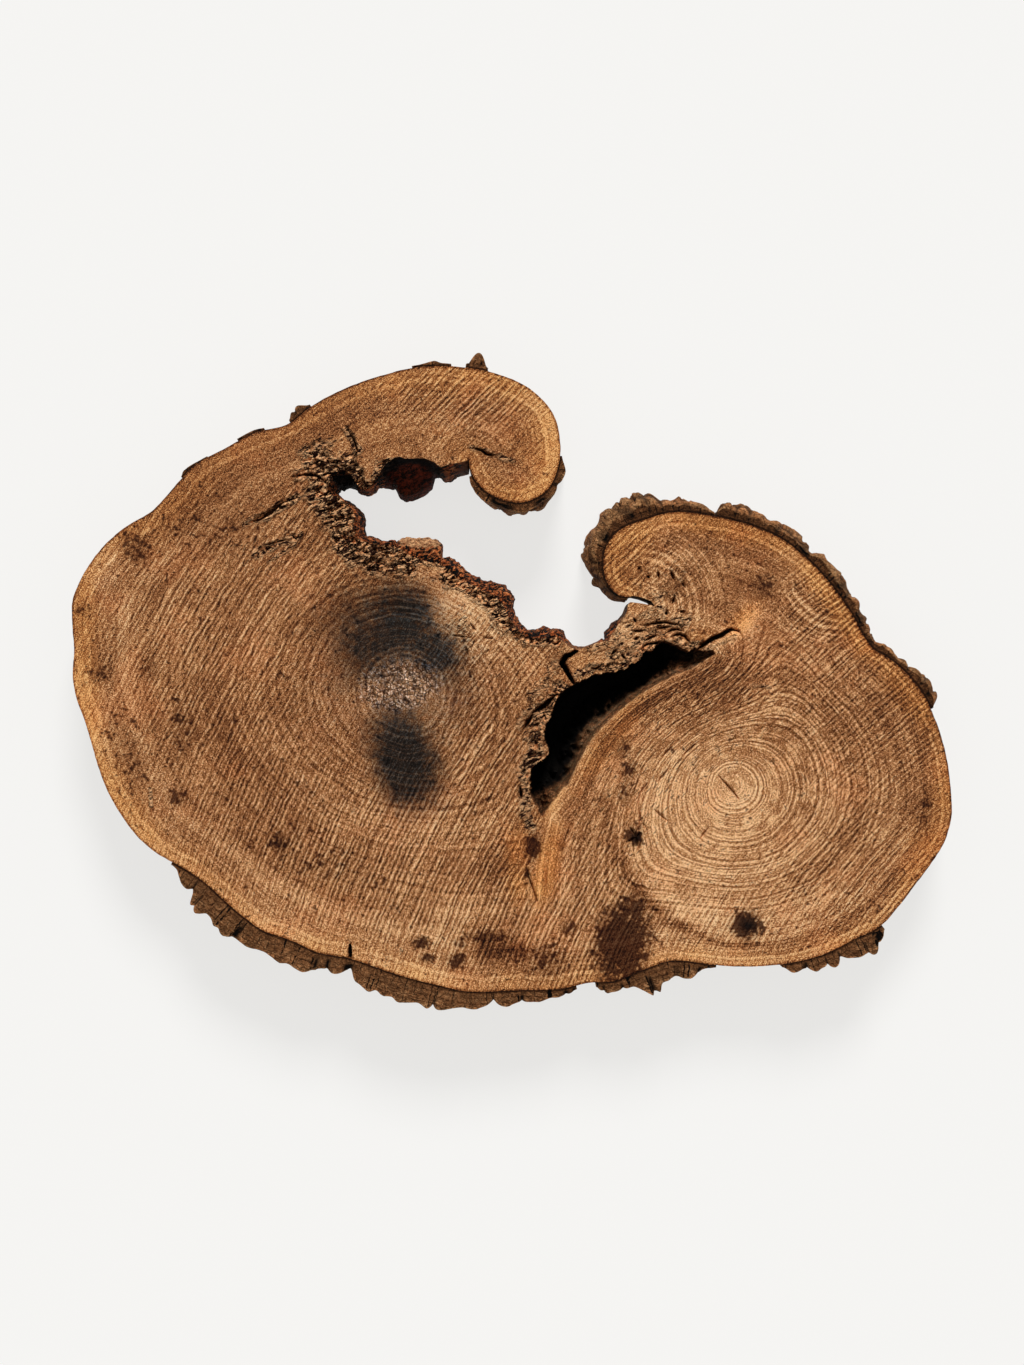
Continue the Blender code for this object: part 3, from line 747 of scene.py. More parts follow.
# %% Strokes
STROKES = [
    ([(92, -118), (100, -160), (122, -203), (160, -240), (212, -262), (280, -262), (340, -238),
      (382, -196)], 9, -0.17),
    ([(108, -150), (140, -205), (190, -236), (262, -240), (330, -210)], 9, 0.07),
    ([(-262, -150), (-212, -190), (-142, -214), (-62, -210), (-10, -182)], 15, -0.07),
    ([(-290, -60), (-270, -130), (-220, -180)], 16, -0.05),
    ([(243, 66), (214, 40), (176, 18), (140, -4), (104, -24), (78, -50), (60, -82), (46, -112),
      (40, -136)], 8, 0.3),
    ([(150, -14), (112, -40), (92, -70), (76, -110), (70, -150)], 7, -0.14),
    ([(110, -62), (134, -26), (176, -2), (226, 8)], 20, -0.13),
    ([(44, -147), (39, -159), (37, -169), (30, -178), (27, -187), (26, -199), (28, -212),
      (29, -226)], 10, 0.16),
    ([(8, -150), (6, -176), (8, -204)], 7, 0.05),
    ([(59, -140), (57, -152), (48, -164)], 3, -0.2),
    ([(122, -203), (140, -224), (160, -240), (186, -253), (212, -262), (240, -264)], 3.2, -0.2),
    ([(30, -176), (44, -196), (60, -222), (72, -258)], 9, 0.07),
    ([(-436, 40), (-430, -30), (-408, -92), (-376, -146), (-330, -184), (-262, -236), (-190, -268),
      (-60, -304)], 9, 0.08),
    ([(-6, 306), (24, 280), (40, 244), (38, 212), (18, 188)], 10, 0.09),
    ([(160, 160), (220, 152), (280, 128), (320, 84), (350, 40), (400, -8)], 10, 0.05),
    ([(100, 120), (110, 140), (130, 152)], 12, 0.03),
    ([(424, -60), (428, -120), (412, -170), (380, -214)], 10, 0.03),
    ([(-186, 268), (-130, 262), (-60, 266), (-20, 258), (10, 236)], 8, -0.06),
    ([(-300, 150), (-230, 100), (-190, 60)], 26, -0.03),
    ([(-26, -265), (-14, -267), (2, -268)], 14, -0.46),
    ([(410, -60), (404, -110), (408, -150)], 8, -0.09),
]


def strokes_at(points):
    """The sum of the strokes, each falling off as a bell curve of the distance over its half width."""
    total = np.zeros(len(points))
    for line, half_width, strength in STROKES:
        distance, _ = nearest(points, smooth_line(line, 3))
        total += strength * np.exp(-((distance / half_width) ** 2))
    return total


tone = tone_at(plan) + strokes_at(plan)
write_on(wood, tone=tone)
print("tones from", round(tone.min(), 2), "to", round(tone.max(), 2))

# %% [markdown]
# Inside the curl the rings open like a fan, and beside it they flicker where a limb once was. A fan is an
# oval with a middle of its own for its arcs. The saw bit deepest in some places and skated over others,
# which is told by soft ovals again: their middle, width, height, lean in degrees and strength. Calm ovals
# take the bite away, because the smooth wood of the fold and of the ridge hardly shows the saw.

# %% Fans
FANS = [
    ((126, 72), (170, 102, 46, 50, 0)),
    ((330, 112), (296, 66, 34, 38, 20)),
    ((-108, -36), (-118, 78, 62, 22, 0)),
]


def oval_at(points, ovals, steep=1.4, merged=False):
    """The strongest of the ovals: strength times a bell curve of the place turned and scaled to the oval.
    Merged ovals shade into one another: what each lets through is multiplied."""
    found = np.zeros(len(points))
    for x, y, wide, high, lean, strength in ovals:
        lean = np.radians(lean)
        dx, dy = points[:, 0] - x, points[:, 1] - y
        across = (dx * np.cos(lean) + dy * np.sin(lean)) / wide
        up = (dy * np.cos(lean) - dx * np.sin(lean)) / high
        share = strength * np.exp(-((across**2 + up**2) ** steep) * 0.7)
        found = 1 - (1 - found) * (1 - share) if merged else np.maximum(found, share)
    return found


fan, in_fan = np.zeros(len(plan)), np.zeros(len(plan))
for hub, oval in FANS:
    share = oval_at(plan, [(*oval, 1.0)])
    fan = np.where(share > in_fan, np.linalg.norm(plan - hub, axis=1), fan)
    in_fan = np.maximum(share, in_fan)
write_on(wood, fan=fan, in_fan=in_fan)
print("fans:", len(FANS))

# %% The saw's bite
BITES = [
    (-50, -200, 90, 75, 0, 1.0), (-150, -190, 90, 50, -20, 0.9), (-250, -130, 70, 70, 0, 0.55),
    (60, -235, 60, 60, 0, 1.0), (-300, 40, 80, 120, 0, 0.6), (-200, 140, 60, 60, 0, 0.5),
    (330, 60, 50, 60, 0, 0.7), (390, -40, 40, 50, 0, 0.5), (320, -190, 90, 60, 0, 0.5),
    (-40, 285, 60, 24, 0, 0.9), (-330, 140, 60, 50, 0, 0.3), (340, -90, 60, 80, 0, 0.4),
    (200, -240, 80, 24, 0, 0.6), (-20, -90, 50, 60, 0, 0.8), (-30, 20, 60, 40, 0, 0.5),
    (115, 120, 34, 34, 0, 0.4), (200, 0, 80, 40, 0, 0.5), (-80, -150, 80, 50, 0, 0.9),
]
CALM = [
    (35, -184, 11, 42, -12, 1.4), (8, -180, 12, 36, 0, 0.5), (96, -58, 12, 60, -38, 0.6),
    (48, -110, 10, 36, -20, 0.6), (170, 12, 50, 12, 25, 0.5), (240, 100, 26, 20, 0, 0.5),
    (218, -104, 80, 70, 0, 0.45), (-290, 180, 90, 50, 40, 0.2), (-110, 60, 40, 40, 0, 0.3),
    (-108, -4, 30, 24, 0, 0.7),
]
bite = oval_at(plan, BITES) - oval_at(plan, CALM)
write_on(wood, bite=bite)
print("bite from", round(bite.min(), 2), "to", round(bite.max(), 2))

# %% [markdown]
# The stains are soft ovals too. Black ones are soot-dark smudges by the left pith. Brown ones are damp
# spots, most of them ragged. Amber marks the smooth seam below the cavity, and pale the places where the
# wood is bleached. The material gives their edges a ragged line. The black ones overlap, so each lets
# through a share of the wood and the shares are multiplied. Of the others the strongest one counts.

# %% Stains
BLACK_STAINS = [
    (-106, 60, 24, 28, -20, 0.98), (-146, 34, 24, 28, 35, 0.55), (-74, 28, 20, 20, -20, 0.8),
    (-134, 80, 56, 20, 8, 0.4), (-112, 48, 62, 40, 0, 0.3), (-109, -78, 24, 43, 2, 1.0),
    (-90, -96, 28, 34, 20, 0.6), (-126, -58, 20, 34, 0, 0.45), (-152, 6, 60, 76, 0, 0.36),
    (-62, -8, 34, 44, 0, 0.4), (236, -244, 10, 11, 0, 0.75), (124, -156, 5, 6, 0, 0.7),
    (-232, -162, 7, 7, 0, 0.4),
]
BROWN_STAINS = [
    (-232, -162, 9, 9, 0, 0.75), (-216, -148, 30, 14, 30, 0.28), (111, -262, 24, 36, -10, 1.25),
    (122, -228, 12, 14, 0, 0.9), (234, -244, 13, 13, 0, 1.2), (-26, -256, 20, 8, 0, 0.5),
    (-52, -262, 8, 6, 0, 0.5), (-92, -262, 9, 6, 0, 0.8), (-86, -277, 7, 5, 0, 0.8),
    (-56, -279, 9, 7, 0, 0.85), (56, -247, 7, 6, 0, 0.7), (34, -278, 22, 20, 10, 0.45),
    (-376, 135, 13, 17, 20, 0.55), (-332, -49, 16, 32, 0, 0.35), (-412, 11, 15, 12, 0, 0.4),
    (-362, 11, 14, 12, 0, 0.4), (-430, 71, 8, 6, 0, 0.5), (-334, -116, 12, 10, 0, 0.5),
    (21, -167, 9, 12, 0, 0.85), (15, -194, 3, 6, 0, 1.0), (122, -154, 8, 9, 0, 1.0),
    (113, -66, 7, 12, 0, 0.5), (117, -92, 8, 14, 0, 0.62), (112, -112, 8, 12, 0, 0.45),
    (-190, -180, 60, 22, -20, 0.25), (-385, -75, 22, 40, 20, 0.25), (252, 96, 15, 14, 0, 0.4),
    (414, -130, 8, 26, 0, 0.35), (-300, 150, 60, 40, 30, 0.2), (-20, 60, 30, 20, 0, 0.15),
]
AMBER_STAINS = [
    (35, -184, 12, 42, -12, 1.2), (6, -180, 14, 42, 0, 0.8), (96, -60, 14, 66, -38, 0.7),
    (40, -120, 12, 30, -20, 0.6), (232, 62, 26, 10, 45, 0.8), (186, 44, 20, 8, 10, 0.5),
    (66, 24, 34, 14, 30, 0.3), (116, 128, 26, 34, -30, 0.55), (20, 236, 26, 50, 20, 0.55),
    (8, 190, 30, 14, 10, 0.5), (215, 150, 60, 12, -12, 0.5), (330, 70, 14, 60, 35, 0.55),
    (-60, 290, 110, 20, 4, 0.35), (-426, 10, 16, 90, 0, 0.5), (-390, -110, 20, 60, 35, 0.35),
    (400, -20, 16, 40, 40, 0.5), (-120, 250, 90, 30, 8, 0.3), (412, -150, 16, 60, -20, 0.35),
    (-330, 170, 60, 24, 40, 0.3), (60, 6, 40, 30, 0, 0.3),
]
# The pale oval at (-92, 143) is on the stub: its upper side is pale partly as its own wood, partly as a
# painted highlight.
PALE_STAINS = [
    (-410, 116, 18, 22, 0, 1.0), (-92, 143, 21, 7, 0, 1.5), (-280, 250, 30, 14, 20, 0.35),
    (-340, -110, 14, 10, 0, 0.4), (-108, -6, 40, 26, 0, 1.1), (-110, 0, 92, 78, 0, 0.8),
    (-140, -130, 120, 80, 0, 0.22), (-230, 120, 50, 12, 60, 0.25),
]
BLACK_STEEP = 1.15

write_on(wood, black=oval_at(plan, BLACK_STAINS, BLACK_STEEP, True), brown=oval_at(plan, BROWN_STAINS))
write_on(wood, amber=oval_at(plan, AMBER_STAINS), pale=oval_at(plan, PALE_STAINS))
print("stains:", len(BLACK_STAINS + BROWN_STAINS + AMBER_STAINS + PALE_STAINS))

# %% [markdown]
# The finish must know wall from face. On the wall, the hollows are painted shade: black put on the pockets
# under the bay's ceiling. The stub is the end of a broken limb, painted pale on its upper side, partly as
# its own wood and partly as a painted highlight. Decay says how rotten a point is, and gone how far it has
# sunk below the saw's cut. The row of points round the back is shared, so it counts as half wall.

# %% What is wall, what is rotten
HOLLOW_SHADES = [(-102, 210, 34, 16, -4, 1.0), (-166, 200, 16, 10, 0, 0.8), (-50, 212, 16, 9, 0, 0.5)]
STUB = (-92, 143, 21, 8, 0, 1.5)

wall_start, wall_end = len(front), len(front) + len(middle)
is_wall, all_decay, all_gone = np.zeros((3, len(wood_points)))
is_wall[wall_start:wall_end] = 1
is_wall[wall_end - edge_count : wall_end] = 0.5
all_decay[:wall_start] = decay
all_decay[wall_start:wall_end] = np.tile(broken_share, len(WALL_Z) - 1)
all_gone[:wall_start] = gone
write_on(wood, wall=is_wall, hollow=is_wall * oval_at(plan, HOLLOW_SHADES), stub=is_wall * oval_at(plan, [STUB]))
write_on(wood, decay=all_decay, gone=all_gone)
print("wood layers:", len(wood.data.attributes))

# %% [markdown]
# ## Bark
# Walnut bark is thick and cut by deep furrows that run along the trunk, which here is through the slab's
# thickness. The outline of a strip on the cut face is its outer silhouette, so the depth at each station
# is the distance from that line to the live edge. Carried back through the slab, the same depths slide
# sideways a little and open into furrows. Where the saw met the top strips, the bark was already worn
# back from the cut, so they are thinner at the face and flare out behind it.
#
# A strip holds its outside line, its share of the thickness at the cut and at the back, and the heights
# where it starts and ends.

# %% The strips' outside lines
BARK = {
    "bark_curl": (
        [(116, 81), (108, 82), (98, 87), (88, 97), (81, 109), (76, 121), (75, 133), (78, 142), (82, 150),
         (90, 160), (92, 168), (100, 177), (109, 179), (116, 185), (126, 190), (137, 189.5), (143, 184),
         (158, 182), (168, 185), (174, 181), (190, 177), (198, 173), (203, 170)],
        0.5, 1.0, 0.0, 75.0),
    "bark_upper_right": (
        [(206, 170), (207, 176), (211, 181), (217, 182), (229, 180), (241, 175), (253, 170), (258, 162),
         (266, 163), (281, 153), (297, 140), (305, 130), (315, 130), (323, 118), (336, 104), (339, 93),
         (351, 81), (353, 69), (360, 64), (367, 41), (375, 39), (385, 31), (388, 24), (397, 22), (403, 14),
         (417, 4), (425, 4), (430, -14), (426, -22), (417, -29)],
        0.5, 1.0, 0.0, 75.0),
    "bark_lower_right": (
        [(372, -247), (370, -253), (368, -262), (366, -270), (360, -274), (353, -272), (346, -275),
         (329, -276), (327, -282), (321, -285), (308, -284), (305, -288), (281, -290), (270, -285.5)],
        1.0, 0.9, 0.0, 75.0),
    "bark_lower_middle": (
        [(204, -286), (191, -288), (186, -293), (181, -297), (173, -298), (164, -296), (156, -300),
         (150, -302), (149, -315), (145, -318), (141, -315), (140, -303), (122, -305), (111, -309),
         (100, -309), (94, -313), (89, -310), (84, -304)],
        1.0, 0.85, 0.0, 75.0),
    "bark_lower_left": (
        [(65, -307.5), (58, -314), (37, -317), (28, -321), (3, -322), (-4, -325), (-20, -320), (-37, -327),
         (-49, -325), (-56, -327), (-85, -325), (-93, -319), (-114, -319), (-119, -313), (-129, -312),
         (-135, -306), (-142, -309), (-158, -300), (-162, -287), (-166, -293), (-180, -292), (-192, -287),
         (-197, -290), (-208, -290), (-232, -281), (-254, -267), (-271, -260), (-282, -258), (-289, -252),
         (-292, -243), (-297, -245), (-306, -230), (-310, -232), (-317, -230), (-322, -222), (-318, -211),
         (-325, -207), (-330, -202), (-334, -189), (-341, -183)],
        1.0, 0.9, 0.0, 75.0),
    "bark_chip_shoulder": (
        [(-331, 204), (-329, 211), (-324, 214), (-313, 220), (-305, 224)],
        1.0, 0.7, 30.0, 72.0),
    "bark_crust_left": (
        [(-275, 242), (-268, 246), (-258, 251), (-248, 253)],
        1.0, 0.8, 25.0, 73.0),
    "bark_chip_left": (
        [(-223, 260), (-221, 268), (-217, 273), (-209, 275), (-202, 276)],
        1.0, 0.7, 22.0, 73.0),
    "bark_crust_top": (
        [(-100, 315), (-93, 316), (-77, 320), (-72, 318), (-61, 317)],
        1.0, 0.8, 25.0, 74.0),
    "bark_chip_top": (
        [(-46, 316), (-41, 322), (-37, 326), (-31, 325), (-27, 318), (-24, 312)],
        1.0, 0.6, 28.0, 74.0),
    "bark_scroll": (
        [(50, 225), (52, 218), (56, 210), (54, 203), (49, 196), (41, 184), (33, 176), (20, 170), (6, 166),
         (-9, 168), (-20, 173), (-30, 180), (-37, 189), (-42, 198), (-43, 204)],
        0.8, 0.62, 0.0, 75.0),
}
FOOT_STEP = 0.5
FOOT_REACH = 4
LEAST_BARK = 1.2

fine_rim = smooth_line(RIM, FOOT_STEP)
fine_place = steps_along(fine_rim)
print("strips of bark:", len(BARK))


# %% Where a strip stands
def bark_profile(outside):
    """Where each point of a strip's outside line stands along the live edge, in rising order, and how far
    out it is from there."""
    distance, number = nearest(np.array(outside, float), fine_rim)
    order = np.argsort(fine_place[number])
    place = fine_place[number][order]
    apart = np.concatenate([[True], np.diff(place) > 0.5])
    return place[apart], np.maximum(distance[order][apart], LEAST_BARK)


def on_rim(place):
    """The live edge's point at each place along it."""
    place = np.clip(place, 0, fine_place[-1])
    return np.stack([np.interp(place, fine_place, fine_rim[:, k]) for k in (0, 1)], axis=1)


# %% A strip's grid
BARK_STEP, BARK_RISE = 1.3, 2.6
SKIN_STEPS, INSIDE_STEPS = 8, 6
SOFTENED = 5


def bark_section(low, high):
    """The way once round a strip's section: (share of the way out, height) over the cut, down the outside,
    back along the lower cut and up the inside."""
    rise = np.linspace(high, low, max(6, round((high - low) / BARK_RISE)))[1:-1]
    out = np.linspace(0, 1, SKIN_STEPS)
    across = np.concatenate([out, np.ones(len(rise)), out[::-1], np.zeros(INSIDE_STEPS)])
    up = np.linspace(low, high, INSIDE_STEPS + 2)[1:-1]
    height = np.concatenate([np.full(SKIN_STEPS, high), rise, np.full(SKIN_STEPS, low), up])
    return across, height


def bark_grid(outside, low, high):
    """For stations along the strip by a way round its section: the place along the rim, the height z, the
    share w of the way out, the foot and the outward direction, and the softened depths of the profile."""
    place, depth = bark_profile(outside)
    station = np.linspace(place[0], place[-1], max(8, round((place[-1] - place[0]) / BARK_STEP)))
    across, height = bark_section(low, high)
    s, v = np.meshgrid(np.arange(len(station)), np.arange(len(across)), indexing="ij")
    out = to_the_left(on_rim(station + FOOT_REACH) - on_rim(station - FOOT_REACH))
    g = SimpleNamespace(where=station[s], z=height[v], w=across[v], foot=on_rim(station)[s], out=out[s])
    g.soft_place = np.arange(place[0], place[-1], 1.0)
    padded = np.pad(np.interp(g.soft_place, place, depth), SOFTENED // 2, "edge")
    g.soft_depth = np.convolve(padded, np.ones(SOFTENED) / SOFTENED, "valid")
    return g


# %% Furrows, lobes and grit
BARK_FLARE = 9
FURROW_DEPTH, FURROW_SLIDE = 3.4, 5.0
LOBE_SIZE, LOBE_HEIGHT = 14.0, 4.0
GRIT = 0.7


def bark_relief(g, front_share, back_share, low, high, seed):
    """Thickness = the profile's depth at the slid place, times the share at that height, plus lobes and grit,
    less furrows. All of these are noise drawn out along z, and furrows and slide grow below the cut."""
    spot = np.stack([g.where, g.z * 0.22, np.full(g.where.shape, seed * 7.3)], axis=-1).reshape(-1, 3)

    def uneven(stretch, size, layers, more):
        return layered_noise(spot * stretch, size, layers, seed + more).reshape(g.where.shape)

    below = high - g.z
    slide = FURROW_SLIDE * uneven(1, 16, 2, 0) * ease(below, 0, 30)
    share = back_share + (front_share - back_share) * ((g.z - low) / (high - low)) ** BARK_FLARE
    full = np.interp(g.where + slide, g.soft_place, g.soft_depth) * share
    g.furrow = ease(1 - 3.4 * np.abs(uneven(1, 13, 2, 20))) * ease(below, 0, 14)
    g.lobes = np.sqrt(np.abs(uneven((1, 1.5, 1), LOBE_SIZE, 1, 80)))
    grit = GRIT * (1.4 - front_share) * uneven((1, 4, 1), 4.5, 3, 40)
    full = full + LOBE_HEIGHT * (2 * g.lobes - 1) * ease(full, 2.5, 9)
    g.full = full - np.minimum(FURROW_DEPTH, 0.35 * full) * g.furrow + grit * ease(full, 2, 6)


# %% One strip
BARK_GAP = 0.3
CHIP_DEPTH = 2.2
CUT_BAND = 3
BARK_SHARP = 0.9


def bark_piece(name, outside, front_share, back_share, low, high, seed):
    """Foot + outward * (gap + share of the way out * thickness), with small chips off the cut's surface."""
    g = bark_grid(outside, low, high)
    bark_relief(g, front_share, back_share, low, high, seed)
    reach = BARK_GAP + g.w * np.maximum(LEAST_BARK * 0.6, g.full)
    on_cut = np.stack([g.where, g.w * g.full * 1.3, g.z * 0], axis=-1).reshape(-1, 3)
    chipped = 0.5 * layered_noise(on_cut, 6, 2, seed + 60).reshape(g.w.shape)
    drop = np.where(g.z == high, np.clip(-chipped, 0, 1) * CHIP_DEPTH * ease(g.w, 0.05, 0.6), 0)
    points = np.concatenate([g.foot + g.out * reach[..., None], (g.z - drop)[..., None]], axis=-1)
    index = np.arange(g.w.size).reshape(g.w.shape)
    a, b = index[:-1], index[1:]
    quads = np.stack([a, b, np.roll(b, -1, axis=1), np.roll(a, -1, axis=1)], axis=-1).reshape(-1, 4)
    faces = quads.tolist() + [index[0].tolist(), index[-1][::-1].tolist()]
    piece = new_piece(name + "_strip", points.reshape(-1, 3), faces, name, BARK_SHARP)
    write_on(
        piece, cut=(g.w < 1) & ((g.z >= high - CUT_BAND) | (g.z <= low)), layer=g.w * g.full,
        furrow=g.furrow * (g.w > 0), notch=ease(0.42 - g.lobes, 0, 0.24),
        worn=np.full(g.w.shape, 1 - front_share), place=g.where, across=g.w,
    )
    return piece


bark_pieces = [bark_piece(name, *spec, seed) for seed, (name, spec) in enumerate(BARK.items())]
print("bark triangles:", sum(len(piece.data.polygons) * 2 for piece in bark_pieces))

# %% [markdown]
# ## Finishes
# Nothing here is a picture. Each finish is worked out at every point from the layers written on the piece
# and from noise in the piece's own coordinates. The nodes are many, so a small helper adds them one call
# at a time and lets a formula read almost like arithmetic.

# %% A short way to write a finish
def paint(red, green, blue):
    """A colour as seen on a screen, 0..255, turned into the light it stands for."""
    part = np.array([red, green, blue]) / 255
    light = np.where(part <= 0.04045, part / 12.92, ((part + 0.055) / 1.055) ** 2.4)
    return (*light.tolist(), 1.0)


class Recipe:
    """A node tree that grows by one node a call; each call gives back that node's output."""

    def __init__(self, tree):
        self.tree = tree

    def put(self, socket, value):
        if isinstance(value, bpy.types.NodeSocket):
            self.tree.links.new(value, socket)
        else:
            socket.default_value = value

    def add(self, kind, **settings):
        node = self.tree.nodes.new(kind)
        for name, value in settings.items():
            setattr(node, name, value)
        return node

    def math(self, operation, a, b=0.0):
        node = self.add("ShaderNodeMath", operation=operation)
        self.put(node.inputs[0], a)
        self.put(node.inputs[1], b)
        return node.outputs[0]

    def times(self, a, b):
        return self.math("MULTIPLY", a, b)

    def minus(self, a, b):
        return self.math("SUBTRACT", a, b)

    def greatest(self, a, b):
        return self.math("MAXIMUM", a, b)

    def total(self, *terms):
        """The sum of value * weight over the (value, weight) pairs."""
        found = 0.0
        for value, weight in terms:
            node = self.add("ShaderNodeMath", operation="MULTIPLY_ADD")
            self.put(node.inputs[0], value)
            self.put(node.inputs[1], weight)
            self.put(node.inputs[2], found)
            found = node.outputs[0]
        return found

    def read(self, layer):
        return self.add("ShaderNodeAttribute", attribute_name=layer).outputs["Fac"]

    def fade(self, value, low, high, start=0.0, end=1.0):
        """A smooth step from start, at low, to end, at high."""
        node = self.add("ShaderNodeMapRange", interpolation_type="SMOOTHSTEP")
        for socket, given in zip(node.inputs[:5], (value, low, high, start, end)):
            self.put(socket, given)
        return node.outputs[0]

    def noise(self, vector, size, detail=2.0, roughness=0.5):
        """Noise 0..1 with features of about the given size in millimetres."""
        node = self.add("ShaderNodeTexNoise")
        self.put(node.inputs["Vector"], vector)
        node.inputs["Scale"].default_value = 1 / (size * MM)
        node.inputs["Detail"].default_value = detail
        node.inputs["Roughness"].default_value = roughness
        return node.outputs["Fac"]

    def noise_on(self, value, size, detail=1.0):
        """Noise 0..1 along one number, so that every place with the same number looks alike."""
        node = self.add("ShaderNodeTexNoise", noise_dimensions="1D")
        self.put(node.inputs["W"], value)
        node.inputs["Scale"].default_value = 1 / size
        node.inputs["Detail"].default_value = detail
        return node.outputs["Fac"]

    def wave(self, value, length):
        """0..1 and back over each length."""
        turned = self.math("SINE", self.times(value, 2 * np.pi / length))
        return self.total((turned, 0.5), (0.5, 1.0))

    def vector(self, x, y, z):
        node = self.add("ShaderNodeCombineXYZ")
        for socket, given in zip(node.inputs, (x, y, z)):
            self.put(socket, given)
        return node.outputs[0]

    def stretched(self, vector, factors):
        node = self.add("ShaderNodeVectorMath", operation="MULTIPLY")
        self.put(node.inputs[0], vector)
        node.inputs[1].default_value = factors
        return node.outputs[0]

    def warped(self, vector, size, amount):
        """The vector moved about by noise of the given size, by up to about the amount in millimetres."""
        node = self.add("ShaderNodeTexNoise")
        self.put(node.inputs["Vector"], vector)
        node.inputs["Scale"].default_value = 1 / (size * MM)
        centred = self.add("ShaderNodeVectorMath", operation="SUBTRACT")
        self.put(centred.inputs[0], node.outputs["Color"])
        centred.inputs[1].default_value = (0.5, 0.5, 0.5)
        moved = self.add("ShaderNodeVectorMath", operation="MULTIPLY_ADD")
        self.put(moved.inputs[0], centred.outputs[0])
        moved.inputs[1].default_value = (amount * 4 * MM,) * 3
        self.put(moved.inputs[2], vector)
        return moved.outputs[0]

    def turned(self, vector, angle, factors):
        """The vector turned about z by the angle and then stretched by the factors."""
        node = self.add("ShaderNodeVectorRotate", rotation_type="Z_AXIS")
        self.put(node.inputs["Vector"], vector)
        node.inputs["Angle"].default_value = angle
        return self.stretched(node.outputs[0], factors)

    def blend(self, share, a, b, kind="MIX"):
        node = self.add("ShaderNodeMix", data_type="RGBA", blend_type=kind)
        for socket, given in ((node.inputs[0], share), (node.inputs[6], a), (node.inputs[7], b)):
            self.put(socket, given)
        return node.outputs[2]

    def ramp(self, value, stops):
        node = self.add("ShaderNodeValToRGB")
        row = node.color_ramp.elements
        while len(row) < len(stops):
            row.new(0.5)
        for element, (place, colour) in zip(row, stops):
            element.position = place
            element.color = colour
        self.put(node.inputs[0], value)
        return node.outputs[0]

    def group(self, tree, **given):
        node = self.add("ShaderNodeGroup", node_tree=tree)
        for name, value in given.items():
            self.put(node.inputs[name], value)
        return node.outputs


def effect(name, inputs, outputs):
    """An empty node group with named inputs and outputs, its recipe and its two end nodes."""
    tree = bpy.data.node_groups.new(name, "ShaderNodeTree")
    for label, kind in inputs:
        tree.interface.new_socket(label, in_out="INPUT", socket_type=kind)
    for label, kind in outputs:
        tree.interface.new_socket(label, in_out="OUTPUT", socket_type=kind)
    recipe = Recipe(tree)
    return tree, recipe, recipe.add("NodeGroupInput").outputs, recipe.add("NodeGroupOutput").inputs


# %% [markdown]
# Wood and bark share two effects. Dry grain is the unevenness that any sawn or weathered surface has, in
# three sizes. Fissures are the dark, winding splits where the stuff has come apart: noise is nearly one
# half along winding lines, so its distance from one half, measured against a threshold, draws them.

# %% Shared effects
VALUE, VECTOR = "NodeSocketFloat", "NodeSocketVector"

dry_grain, recipe, given, result = effect(
    "dry_grain", [("Place", VECTOR)], [("Fine", VALUE), ("Coarse", VALUE), ("Broad", VALUE)]
)
recipe.put(result["Fine"], recipe.noise(given["Place"], 1.15, 2, 0.7))
recipe.put(result["Coarse"], recipe.noise(given["Place"], 11, 3, 0.6))
recipe.put(result["Broad"], recipe.noise(given["Place"], 70, 2, 0.5))

fissures, recipe, given, result = effect(
    "fissures", [("Place", VECTOR), ("Amount", VALUE)], [("Split", VALUE), ("Height", VALUE)]
)
bent = recipe.warped(given["Place"], 12, 2.0)
wide_line = recipe.math("ABSOLUTE", recipe.minus(recipe.noise(bent, 7.0, 3, 0.58), 0.5))
thin_line = recipe.math("ABSOLUTE", recipe.minus(recipe.noise(bent, 2.8, 3, 0.65), 0.5))
reach = recipe.times(given["Amount"], 0.03)
wide_split = recipe.fade(recipe.minus(reach, wide_line), -0.008, 0.01)
thin_split = recipe.fade(recipe.minus(recipe.times(reach, 0.45), thin_line), -0.012, 0.016)
recipe.put(result["Split"], recipe.greatest(wide_split, recipe.times(thin_split, 0.75)))
lumpy = recipe.noise(bent, 4.5, 4, 0.7)
height = recipe.total((recipe.fade(wide_line, 0.0, 0.09), 1.2), (lumpy, 1.8), (thin_split, -0.4))
recipe.put(result["Height"], height)
print("effects:", [tree.name for tree in bpy.data.node_groups])

# %% Starting and closing a finish
def new_finish(name):
    """A material with its recipe, and the place and the dry grain that both finishes start from."""
    made = bpy.data.materials.new(name)
    made.use_nodes = True
    r = Recipe(made.node_tree)
    s = SimpleNamespace(place=r.add("ShaderNodeTexCoord").outputs["Object"])
    grain = r.group(dry_grain, Place=s.place)
    s.fine, s.coarse, s.broad = grain["Fine"], grain["Coarse"], grain["Broad"]
    return made, r, s


def close_finish(made, r, colour, roughness, height, gloss):
    """The colour, the roughness and the bump of a height in millimetres go into the material's shader."""
    bump = r.add("ShaderNodeBump")
    bump.inputs["Distance"].default_value = MM
    r.put(bump.inputs["Height"], height)
    shader = made.node_tree.nodes["Principled BSDF"]
    r.put(shader.inputs["Base Color"], colour)
    r.put(shader.inputs["Roughness"], roughness)
    r.put(shader.inputs["Normal"], bump.outputs["Normal"])
    shader.inputs["Specular IOR Level"].default_value = gloss
    return made


# %% [markdown]
# ### The sawn wood
# The cut face's colour starts as one number, its tone. The broad tone of the place, the rings, the scores,
# the scratches beside them and the grain each add a little to it, and a ramp of browns turns the sum into
# colour. Stains darken that by a factor, so the scores still show through them. Rot is painted over it.
#
# The noises and marks that several steps use are kept together under one short name, s.

